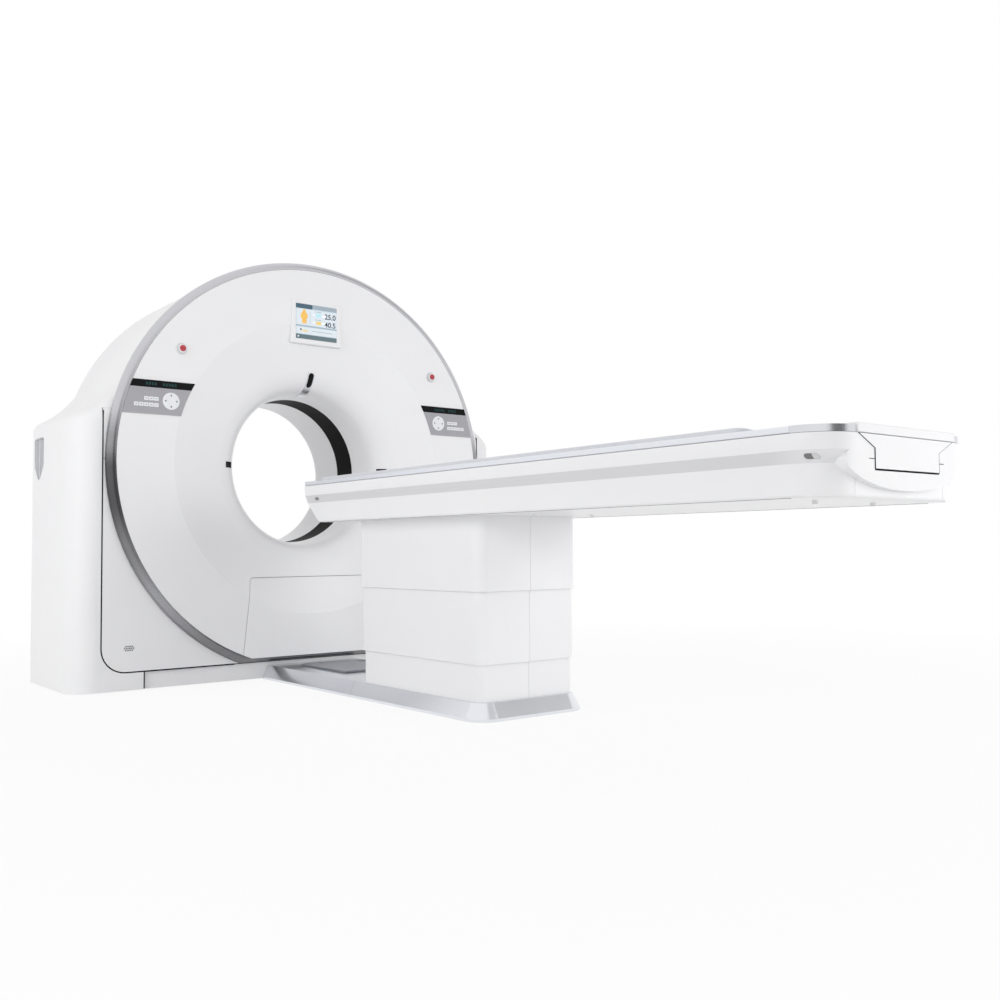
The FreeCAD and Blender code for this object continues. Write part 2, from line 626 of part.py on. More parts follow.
def corner_covers(shell):
    """The corner covers beside the ring: the same skin, each in an upper and a lower part."""
    region = corner_region("corner_form", "0", (f"-{FAR}", "0"), "corner_seam_top")
    behind_ring = cylinder("corner_inner_edge", "Y", (f"-{FAR}", "0"), "ring_outer_radius - corner_lap",
                           ("0", "isocentre_height"))
    left_space = box("corner_side", (f"-{FAR}", "0"), (f"-{FAR}", FAR), ("0", FAR))
    sheet = cut("corner_sheet", common("corner_skin", shell, common("corner_left_form", region, left_space)),
                behind_ring)
    joint = box("corner_joint", (f"-{FAR}", "0"), (f"-{FAR}", FAR),
                ("isocentre_height - corner_joint / 2", "isocentre_height + corner_joint / 2"))
    corner = cut("corner", sheet, joint)
    holes = []
    for row, count in ((-1, 4), (0, 5), (1, 4)):
        for place in range(count):
            shift = place - (count - 1) / 2
            holes.append(cylinder(f"speaker_hole_{row + 1}_{place}", "Y", (f"-{FAR}", "0"), "speaker_hole",
                                  (f"-speaker_x + {shift} * speaker_step",
                                   f"speaker_z + {row} * speaker_step * sin(60)")))
    node("corner_covers", fuse("corners", cut("corner_left", corner, *holes), mirrored("corner_right",
        corner)))


def grip_form(name, margin, start, depth):
    """The outline of the grip recess in a column's side, raised along X."""
    front = f"({FRONT} + grip_front - {margin})"
    rear = f"({FRONT} + grip_rear + {margin})"
    middle = f"({FRONT} + (grip_front + grip_rear) / 2)"
    body = pad(name, "X", (start, f"{start} + {depth}"),
               [(front, f"grip_top + {margin}"), (front, f"grip_shoulder - {margin}"),
                (f"{middle} - grip_round", f"grip_point - {margin}"),
                (f"{middle} + grip_round", f"grip_point - {margin}"),
                (rear, f"grip_shoulder - {margin}"), (rear, f"grip_top + {margin}")])
    top = number(f"grip_top + {margin}")
    round_edges(body, f"{name}_round", "grip_round",
                lambda edge: along(edge, "x") and abs(edge.CenterOfMass.z - top) < 1)
    return body


def grip_inserts():
    """The lined grip recess in each column's side, with its divider."""
    face = "(-side_half_width)"
    inside = f"({face} + grip_deep - grip_wall)"
    cup = cut("grip_cup", grip_form("grip_outside", "0", face, "grip_deep"),
              grip_form("grip_inside", "-grip_wall", f"({face} - 1)", "grip_deep - grip_wall + 1"))
    divider = box("grip_divider", (f"{face} + grip_wall", inside),
                  (f"{FRONT} + grip_divider - grip_rib / 2", f"{FRONT} + grip_divider + grip_rib / 2"),
                  ("grip_point + grip_wall", "grip_top - grip_wall"))
    left = fuse("grip_left", cup, common("grip_divider_in", divider, grip_form("grip_room", "0", face,
        "grip_deep")))
    node("grip_inserts", pair("grips", left))


def funnel_corners(inset):
    """Depth and radius of the front face, crease, funnel and bore, set into the wall by an inset."""
    centre_radius = "(lip_radius + throat_radius)"
    apex = "((crease_radius - lip_radius) * tan(funnel_angle))"
    centre_depth = f"({FRONT} + {apex} + throat_radius * tan((90 - funnel_angle) / 2))"
    rounding = f"(throat_radius - {inset})"
    upper = (f"({centre_depth} - {rounding} * cos(funnel_angle))",
             f"({centre_radius} - {rounding} * sin(funnel_angle))")
    lower = (centre_depth, f"({centre_radius} - {rounding})")
    face = f"({FRONT} + {inset})"
    crease = (face, f"({upper[1]} + ({upper[0]} - {face}) / tan(funnel_angle))")
    return face, crease, upper, lower, (centre_depth, centre_radius, rounding)


def front_form(name, near, far, outer, end):
    """A wall that follows the front face, the funnel and the bore between two insets."""
    near_face, near_crease, near_upper, near_lower, near_round = funnel_corners(near)
    far_face, far_crease, far_upper, far_lower, far_round = funnel_corners(far)
    points = [(near_face, outer), near_crease, near_upper, near_lower, (end, near_lower[1]),
              (end, far_lower[1]), far_lower, far_upper, far_crease, (far_face, outer)]
    return turned(name, points, {2: near_round, 6: far_round})


def front_covers():
    """The front cover, its access panel, the silver ring and the plinth cover."""
    wall = front_form("front_wall", "0", "cover_wall", "ring_inner_radius - seam_gap",
                      f"{FRONT} + front_cover_end - seam_gap / 2")
    footed = common("footed_front", wall,
                    box("over_chord", (f"-{FAR}", FAR), (f"-{FAR}", FAR), ("chord_height + seam_gap", FAR)))
    spread = "(access_foot_half - access_top_half) / (access_top - access_foot)"

    def access_region(name, margin):
        foot = f"(access_foot_half + {spread} * access_foot + {margin})"
        body = pad(name, "Y", (f"-{FAR}", "0"),
                   [(f"-{foot}", "0"), (foot, "0"), (f"access_top_half + {margin}", f"access_top + {margin}"),
                    (f"-access_top_half - {margin}", f"access_top + {margin}")])
        top = number(f"access_top + {margin}")
        round_edges(body, f"{name}_round", f"access_corner + {margin}",
                    lambda edge: along(edge, "y") and abs(edge.CenterOfMass.z - top) < 1)
        return body

    bezel_hole = box("bezel_hole", ("-bezel_half - seam_gap / 2", "bezel_half + seam_gap / 2"),
        (f"-{FAR}", "0"),
                     ("bezel_low - seam_gap / 2", "bezel_high + seam_gap / 2"))
    stop_holes = [cylinder(f"stop_hole_{side}", "Y", (f"-{FAR}", "0"), "stop_stem_radius + seam_gap",
                           (f"{sign} * stop_x", "stop_z"))
                  for side, sign in (("left", "-1"), ("right", "1"))]
    front = cut("front", footed, access_region("access_hole", "access_gap"), bezel_hole, *stop_holes)
    node("front_cover", front)
    node("access_panel", common("access", footed, access_region("access_form", "0")))

    depth = (FRONT, f"{FRONT} + arch_setback - seam_gap")
    ring_solid = common("ring_disc", cylinder("ring_round_disc", "Y", depth, "ring_outer_radius",
                                              ("0", "isocentre_height")),
                        box("ring_space", (f"-{FAR}", FAR), (f"-{FAR}", FAR), ("seam_height + seam_gap",
                        FAR)))
    document.recompute()
    rounded = document.addObject("Part::Fillet", "ring_rounded")
    rounded.Base = ring_solid
    front_plane = number(FRONT)
    rounded.Edges = [(index, number("ring_round"), number("ring_round"))
                     for index, edge in enumerate(ring_solid.Shape.Edges, start=1)
                     if all(abs(corner.Y - front_plane) < 1e-3 for corner in edge.Vertexes)]
    inner = common("ring_inside", cylinder("ring_inside_disc", "Y", (f"-{FAR}", FAR), "ring_inner_radius",
                                           ("0", "isocentre_height")),
                   box("ring_inside_space", (f"-{FAR}", FAR), (f"-{FAR}", FAR), ("chord_height", FAR)))
    node("ring_trim", cut("ring", rounded, inner))

    node("plinth_cover", cut("plinth",
         box("plinth_outside", ("-plinth_joint_x", "plinth_joint_x"),
             (f"{FRONT} + plinth_setback", f"{FRONT} + plinth_setback + cover_wall * 4"),
             ("floor_gap", "seam_height - shadow_gap")),
         box("plinth_inside", ("-plinth_joint_x + cover_wall", "plinth_joint_x - cover_wall"),
             (f"{FRONT} + plinth_setback + cover_wall", "0"), ("0",
             "seam_height - shadow_gap - cover_wall"))))


def bore_and_rear():
    """The lining of the bore, its dark x-ray window, and the rear cover with its mouth."""
    lining_end = f"{FRONT} + rear_liner_end"

    def lining(name, ends, radii, wall):
        """A slightly conical ring of the lining, in four quarters."""
        whole = turned(name, [(ends[0], radii[0]), (ends[1], radii[1]),
                              (ends[1], f"{radii[1]} + {wall}"), (ends[0], f"{radii[0]} + {wall}")])
        joints = [pad(f"{name}_joint_{turn}", "Y", (f"-{FAR}", FAR),
                      [(f"-{FAR}", f"isocentre_height - {turn} * {FAR} - lining_joint"),
                       (FAR, f"isocentre_height + {turn} * {FAR} - lining_joint"),
                       (FAR, f"isocentre_height + {turn} * {FAR} + lining_joint"),
                       (f"-{FAR}", f"isocentre_height - {turn} * {FAR} + lining_joint")])
                  for turn in (1, -1)]
        return cut(f"{name}_quarters", whole, *joints)

    front_liner = lining("front_liner", (f"{FRONT} + front_cover_end + seam_gap / 2",
                                         f"{FRONT} + front_liner_end - seam_gap / 2"),
                         ("lip_radius", "bore_radius"), "cover_wall")
    rear_liner = lining("rear_liner", (f"{FRONT} + window_ring_end + seam_gap / 2", lining_end),
                        ("bore_radius", "lip_radius"), "cover_wall")
    node("bore_liners", fuse("liners", front_liner, rear_liner))
    node("xray_window", lining("window", (f"{FRONT} + front_liner_end + seam_gap / 2",
                                          f"{FRONT} + window_ring_end - seam_gap / 2"),
                               ("bore_radius", "bore_radius"), "window_wall"))
    mouth = f"({REAR} - {FRONT} - rear_liner_end)"
    start = f"({lining_end} + seam_gap)"
    round_radius = f"(lip_radius + {mouth} - seam_gap)"
    outer = "rear_opening_radius - seam_gap"
    turned_wall = turned("rear_wall",
                         [(start, "lip_radius"), (REAR, round_radius), (REAR, outer),
                          (f"{REAR} - cover_wall", outer), (f"{REAR} - cover_wall", round_radius),
                          (start, "lip_radius + cover_wall")],
                         {0: (start, round_radius, f"{mouth} - seam_gap"),
                          4: (start, round_radius, f"{mouth} - seam_gap - cover_wall")})
    node("rear_cover", common("rear", turned_wall,
                              box("rear_space", (f"-{FAR}", FAR), (f"-{FAR}", FAR),
                                  ("rear_opening_foot + seam_gap", FAR))))


# ---------------------------------------------------------------- controls on the front

def controls():
    """Control panels, display strips, keypads, screen, camera strip, laser windows and stops."""
    face = (f"{FRONT} - panel_thick", FRONT)

    def panel(name, z):
        band = ring(f"{name}_band", face, "crease_radius", "ring_inner_radius - seam_gap")
        return common(name, band, box(f"{name}_space", (f"-{FAR}", "0"), (f"-{FAR}", "0"), z))

    plate = panel("panel_plate", ("panel_low", "strip_low"))
    strip = panel("panel_strip", ("strip_low", "panel_high"))
    top = (f"{face[0]} - keypad_thick", face[0])
    film = box("key_film", ("-key_inner_x - 5 * key_step", "-pad_x - pad_radius * 0.9"), top,
               ("key_row_z - key_row_step * 0.3", "key_row_z + key_row_step * 1.3"))
    disc = cylinder("key_disc", "Y", top, "pad_radius", ("-pad_x", "pad_z"))
    keys = [box(f"key_{line}_{place}",
                (f"-key_inner_x - {place} * key_step - key_width", f"-key_inner_x - {place} * key_step"),
                (f"{top[0]} - keypad_thick", top[0]),
                (f"key_row_z + {line} * key_row_step - key_high / 2",
                f"key_row_z + {line} * key_row_step + key_high / 2"))
            for line, count in ((0, 5), (1, 3)) for place in range(count)]
    node("control_panels", pair("panels", fuse("panel_with_keys", plate, film, disc, *keys)))
    node("display_strips", pair("strips", strip))

    front_plane = f"{FRONT} - bezel_proud"
    bezel = box("bezel_block", ("-bezel_half", "bezel_half"), (front_plane, f"{FRONT} + bezel_deep"),
                ("bezel_low", "bezel_high"))
    window = box("screen_pocket", ("-screen_half", "screen_half"), (f"-{FAR}", f"{FRONT} + screen_thick - 2"),
                 ("screen_low", "screen_high"))
    node("screen_bezel", cut("bezel", bezel, window))
    node("screen", box("display", ("-screen_half", "screen_half"), (f"{FRONT} - 2",
        f"{FRONT} + screen_thick - 2"),
                       ("screen_low", "screen_high")))

    skin = front_form("strip_layer", "(-strip_proud)", "(-strip_seat)", "crease_radius + strip_half",
                      f"{FRONT} + front_cover_end - seam_gap")
    node("camera_strip", common("camera", skin,
         box("camera_space", ("-strip_half", "strip_half"), (f"-{FAR}", "0"),
             ("isocentre_height", "isocentre_height + strip_top_radius"))))
    windows = [box(f"laser_space_{side}", ends, (f"-{FAR}", f"{FRONT} + front_liner_end / 2"),
                   ("isocentre_height - laser_half", "isocentre_height + laser_half"))
               for side, ends in (("left", ("-laser_outer", "-laser_inner")),
                                  ("right", ("laser_inner", "laser_outer")))]
    node("laser_windows", common("lasers", skin, fuse("laser_spaces", *windows)))

    collar_face = f"{FRONT} - stop_collar_thick"
    node("stop_collars", pair("collars", cut("collar",
         cylinder("collar_disc", "Y", (collar_face, FRONT), "stop_collar_radius", ("-stop_x", "stop_z")),
         cylinder("collar_hole", "Y", (f"-{FAR}", "0"), "stop_stem_radius + shaft_fit", ("-stop_x",
         "stop_z")))))
    for side, sign in (("left", "-1"), ("right", "1")):
        centre = (f"{sign} * stop_x", "stop_z")
        under_head = f"({collar_face} - stop_travel - seam_gap / 2)"
        node(f"{side}_stop_button", fuse(f"stop_{side}",
             cylinder(f"stop_head_{side}", "Y", (f"{under_head} - stop_head_thick", under_head),
                      "stop_head_radius", centre),
             cylinder(f"stop_stem_{side}", "Y", (under_head, f"{under_head} + stop_stem_length"),
                      "stop_stem_radius", centre)))


# ---------------------------------------------------------------- inside the gantry

DISC_REAR = "(frame_rear - plate_thick - bearing_depth - bearing_set)"
DISC_FRONT = f"({DISC_REAR} - disc_thick)"
BRACKET_REAR = f"({DISC_FRONT} - belt_gap * 10)"
BRACKET_FRONT = f"({BRACKET_REAR} - bracket_thick)"


def frame_and_bearing():
    """Base frame, mounting plate, bearing rings, slip ring and its brushes."""
    beams = [box("front_beam", ("-frame_half", "frame_half"), ("-frame_front", "-frame_front + frame_beam"),
                 ("0", "frame_beam")),
             box("rear_beam", ("-frame_half", "frame_half"), ("frame_rear - frame_beam", "frame_rear"),
                 ("0", "frame_beam"))]
    for place, middle in (("left", "-frame_half + frame_beam / 2"), ("middle", "0"),
                          ("right", "frame_half - frame_beam / 2")):
        beams.append(box(f"cross_beam_{place}", (f"{middle} - frame_beam / 2", f"{middle} + frame_beam / 2"),
                         ("-frame_front", "frame_rear"), ("0", "frame_beam")))
    plate_ends = ("frame_rear - plate_thick", "frame_rear")
    plate_disc = cylinder("plate_disc", "Y", plate_ends, "plate_radius", ("0", "isocentre_height"))
    plate_foot = box("plate_foot", ("-plate_foot_half", "plate_foot_half"), plate_ends,
                     ("frame_beam / 2", "plate_foot_top"))
    bracket = box("motor_bracket", ("motor_x - bracket_half", "motor_x + bracket_half"),
                  (BRACKET_FRONT, BRACKET_REAR), ("frame_beam / 2", "motor_z + bracket_half"))
    brace = box("bracket_brace", ("motor_x - bracket_half", "motor_x - bracket_half + bracket_thick"),
                ("-frame_front + frame_beam / 2", BRACKET_REAR), ("frame_beam / 2", "frame_beam * 2"))
    plate_hole = cylinder("plate_hole", "Y", (f"-{FAR}", FAR), "plate_hole", ("0", "isocentre_height"))
    shaft_hole = cylinder("bracket_hole", "Y", (f"{BRACKET_FRONT} - 1", f"{BRACKET_REAR} + 1"),
                          "shaft_radius + shaft_fit", ("motor_x", "motor_z"))
    anchors = [cylinder(f"anchor_{across}_{place}", "Z", ("-1", "frame_beam + 1"), "anchor_radius",
                        (f"{across} * anchor_x", middle))
               for across in (-1, 1)
               for place, middle in (("front", "-frame_front + frame_beam / 2"),
                                     ("rear", "frame_rear - frame_beam / 2"))]
    node("gantry_frame", cut("frame", fuse("frame_solid", *beams, plate_disc, plate_foot, bracket, brace),
                             plate_hole, shaft_hole, *anchors))

    fixed_end = "frame_rear - plate_thick"
    node("bearing_fixed_ring", ring("bearing_fixed", (f"{fixed_end} - bearing_depth", fixed_end),
                                    "bearing_race_radius + bearing_gap", "bearing_outer_radius"))
    node("bearing_turning_ring", ring("bearing_turning",
                                      (DISC_REAR, f"{fixed_end} - bearing_set"),
                                      "bearing_inner_radius", "bearing_race_radius"))
    node("rotor_disc", ring("disc", (DISC_FRONT, DISC_REAR), "disc_hole", "disc_radius"))
    tracks = []
    corners = [(DISC_REAR, "disc_hole"), ("slip_end", "disc_hole"), ("slip_end", "slip_radius")]
    for track in range(3):
        near = f"(slip_end - {2 * track + 1} * slip_track)"
        far = f"(slip_end - {2 * track + 2} * slip_track)"
        corners += [(near, "slip_radius"), (near, "slip_radius - slip_groove"),
                    (far, "slip_radius - slip_groove"), (far, "slip_radius")]
    corners.append((DISC_REAR, "slip_radius"))
    node("slip_ring", turned("slip", corners))
    brush = box("brush_form", ("-brush_half", "brush_half"), ("frame_rear", "frame_rear + brush_deep"),
                ("isocentre_height + slip_radius / 2", "isocentre_height + slip_radius + brush_high"))
    node("slip_ring_brushes", cut("brushes", brush,
         cylinder("brush_room", "Y", ("0", FAR), "slip_radius + brush_gap", ("0", "isocentre_height"))))


def rotor_units():
    """What turns round the patient: tube, collimator, detector, generator, cooler and weight."""
    axis_z = "isocentre_height"
    tube = cylinder("tube_body", "Y", ("-tube_front", DISC_FRONT), "tube_radius", ("0",
        f"{axis_z} + tube_orbit"))
    neck_low = f"{axis_z} + tube_orbit - tube_radius - 6"
    neck = box("tube_neck", ("-collimator_half * 0.6", "collimator_half * 0.6"), ("-collimator_front",
        DISC_FRONT),
               (neck_low, f"{axis_z} + tube_orbit"))
    node("xray_tube", fuse("tube", tube, neck))
    slot = box("beam_slot", ("-collimator_half * 0.5", "collimator_half * 0.5"), ("-20", "20"), ("0", FAR))
    node("collimator", cut("collimator_block",
         box("collimator_form", ("-collimator_half", "collimator_half"), ("-collimator_front", DISC_FRONT),
             (f"{axis_z} + collimator_inner", neck_low)), slot))

    focus = ("0", f"{axis_z} + focus_orbit")
    arc = cut("detector_ring",
              cylinder("detector_back", "Y", ("-detector_front", DISC_FRONT),
              "detector_focus + detector_deep", focus),
              cylinder("detector_face", "Y", (f"-{FAR}", FAR), "detector_focus", focus))
    node("detector", common("detector_arc", arc,
                            box("detector_space", ("-detector_half", "detector_half"), (f"-{FAR}", FAR),
                                ("0", axis_z))))
    unit = ("-unit_front", DISC_FRONT)
    height = (f"{axis_z} - unit_half", f"{axis_z} + unit_half")
    node("high_voltage_generator", box("generator", ("-unit_outer", "-unit_inner"), unit, height))
    cooler = box("cooler_block", ("unit_inner", "unit_outer"), unit, height)
    slots = [box(f"cooler_slot_{place}", ("unit_inner + 30", "unit_outer + 1"), (f"-{FAR}", "0"),
                 (f"{axis_z} - unit_half + {place} * 40 + 22", f"{axis_z} - unit_half + {place} * 40 + 40"))
             for place in range(7)]
    node("heat_exchanger", cut("cooler", cooler, *slots))
    weight = ring("weight_ring", (f"{DISC_FRONT} - weight_thick", DISC_FRONT), "weight_inner", "weight_outer")
    node("counterweight", common("weight", weight,
                                 box("weight_space", ("weight_near", FAR), (f"-{FAR}", FAR),
                                     ("0", f"{axis_z} - weight_drop"))))


def rotor_drive():
    """Drive motor on its bracket, the pulley with its shaft, and the belt round the disc's rim."""
    centre = ("motor_x", "motor_z")
    node("drive_motor", cut("motor",
         cylinder("motor_body", "Y", (f"{BRACKET_FRONT} - motor_length", BRACKET_FRONT), "motor_radius",
         centre),
         cylinder("motor_bore", "Y", (f"{BRACKET_FRONT} - shaft_radius * 2", f"{BRACKET_FRONT} + 1"),
                  "shaft_radius + shaft_fit", centre)))
    belt_middle = f"({DISC_FRONT} + disc_thick / 2)"
    near = f"({belt_middle} - belt_width / 2 - belt_gap * 2)"
    far = f"({belt_middle} + belt_width / 2 + belt_gap * 2)"
    node("motor_pulley", fuse("pulley",
         cylinder("pulley_seat", "Y", (near, far), "pulley_radius", centre),
         cylinder("pulley_rim", "Y", (far, f"{far} + pulley_rim"), "pulley_radius + pulley_rim", centre),
         cylinder("pulley_shaft", "Y", (f"{BRACKET_FRONT} - shaft_radius", near), "shaft_radius", centre)))

    def loop(name, ends, growth):
        """The closed form between the disc and the pulley: two circles and their outer tangents."""
        great = f"(disc_radius + {growth})"
        small = f"(pulley_radius + {growth})"
        drop = "(isocentre_height - motor_z)"
        span = f"sqrt(motor_x * motor_x + {drop} * {drop})"
        lean = f"atan({drop} / motor_x)"
        open_angle = "acos((disc_radius - pulley_radius) / " + span + ")"
        corners = []
        for turn in (f"({open_angle} - {lean})", f"(-{open_angle} - {lean})"):
            corners.append((f"({great} * cos{turn})", f"(isocentre_height + {great} * sin{turn})"))
            corners.append((f"(motor_x + {small} * cos{turn})", f"(motor_z + {small} * sin{turn})"))
        quad = pad(f"{name}_span", "Y", ends, [corners[0], corners[1], corners[3], corners[2]])
        return fuse(name, quad,
                    cylinder(f"{name}_great", "Y", ends, great, ("0", "isocentre_height")),
                    cylinder(f"{name}_small", "Y", ends, small, centre))

    ends = (f"{belt_middle} - belt_width / 2", f"{belt_middle} + belt_width / 2")
    wide = (f"{belt_middle} - belt_width", f"{belt_middle} + belt_width")
    node("drive_belt", cut("belt", loop("belt_outside", ends, "belt_gap + belt_thick"),
                           loop("belt_inside", wide, "belt_gap")))


# ---------------------------------------------------------------- table beam

NOSE = "(-nose_y)"
TAIL = "(-tail_y)"


def tail_outline(inset, tail, corner):
    """Corners and arcs of the beam's plan: two straight sides, and a tail with rounded corners."""
    half = f"(beam_half - {inset})"
    radius = f"({corner})"
    points = [(f"-{half}", NOSE), (f"-{half}", f"{tail} + {radius}"), (f"-{half} + {radius}", tail),
              (f"{half} - {radius}", tail), (half, f"{tail} + {radius}"), (half, NOSE)]
    arcs = {1: (f"-{half} + {radius}", f"{tail} + {radius}", radius),
            3: (f"{half} - {radius}", f"{tail} + {radius}", radius)}
    return points, arcs


def beam_plan(name, inset, tail, heights, corner):
    """The beam's plan, drawn in by an inset and raised between two heights."""
    return pad(name, "Z", heights, *tail_outline(inset, f"({tail} + {inset})", f"{corner} - {inset}"))


LOWER_TAIL = "(-tail_y + cap_step)"


def beam_form(name, inset):
    """The beam's outside: wide above, set in below, a leaning band between them, and the scallop."""
    upper = beam_plan(f"{name}_upper", inset, TAIL, ("band_top", "rail_low - seam_gap"), "tail_corner")
    lower_sides = f"(lower_inset + {inset})"
    lower_rear = f"({LOWER_TAIL} + {inset})"
    lower_radius = f"(lower_corner - {inset})"
    lower = pad(f"{name}_lower", "Z", (f"beam_low + {inset}", "band_low"),
                *tail_outline(lower_sides, lower_rear, lower_radius))
    low = number(f"beam_low + {inset}")
    round_edges(lower, f"{name}_low", f"beam_round - {inset}",
                lambda edge: along(edge, "y") and abs(edge.CenterOfMass.z - low) < 1e-3)

    band = document.addObject("PartDesign::Body", f"{name}_band")
    foot = outline(band, f"{name}_band_foot", "XY_Plane", "band_low",
                   *tail_outline(lower_sides, lower_rear, lower_radius))
    head = outline(band, f"{name}_band_head", "XY_Plane", "band_top",
                   *tail_outline(inset, f"({TAIL} + {inset})", f"tail_corner - {inset}"))
    loft = band.newObject("PartDesign::AdditiveLoft", f"{name}_band_loft")
    loft.Profile = foot
    loft.Sections = [head]
    loft.Ruled = True

    rim = document.addObject("Part::Ellipse", f"{name}_rim")
    rim.Placement = FreeCAD.Placement(FreeCAD.Vector(), FreeCAD.Rotation(FreeCAD.Vector(1, 0, 0), 90))
    rim.setExpression("MajorRadius", bound(f"scallop_half - {inset}"))
    rim.setExpression("MinorRadius", bound(f"scallop_top - scallop_low - {inset}"))
    rim.setExpression("Placement.Base.y", bound(f"{TAIL} + {inset}"))
    rim.setExpression("Placement.Base.z", bound("scallop_top"))
    bowl = document.addObject("Part::Extrusion", f"{name}_bowl")
    bowl.Base = rim
    bowl.DirMode = "Custom"
    bowl.Dir = FreeCAD.Vector(0, 1, 0)
    bowl.setExpression("LengthFwd", bound("tail_corner"))
    bowl.Solid = True
    proud = common(f"{name}_scallop", bowl,
                   beam_plan(f"{name}_scallop_room", inset, TAIL, ("beam_low", "band_top"), "tail_corner"))
    return fuse(name, upper, lower, band, proud)


def nose_region(name, setback):
    """Everything in front of the beam's leaning nose."""
    return pad(name, "X", (f"-{FAR}", FAR),
               [(f"{NOSE} - {setback}", "beam_top + beam_round"), (f"{NOSE} - {setback}", "rail_low"),
                (f"{NOSE} - {setback} - nose_slope * 0.12", "band_low"),
                (f"{NOSE} - {setback} - nose_slope", "beam_low - 1"), ("0", "beam_low - 1"),
                ("0", "beam_top + beam_round")])


def oval(name, x, middle, growth):
    """A long hole's form, raised along X; middle is its place along Y."""
    half = "(button_length / 2 - button_high / 2)"
    radius = f"(button_high / 2 + {growth})"
    near = f"({middle} - {half})"
    far = f"({middle} + {half})"
    return pad(name, "X", x,
               [(near, f"button_z - {radius}"), (far, f"button_z - {radius}"),
                (far, f"button_z + {radius}"), (near, f"button_z + {radius}")],
               {1: (far, "button_z", radius), 3: (near, "button_z", radius)})


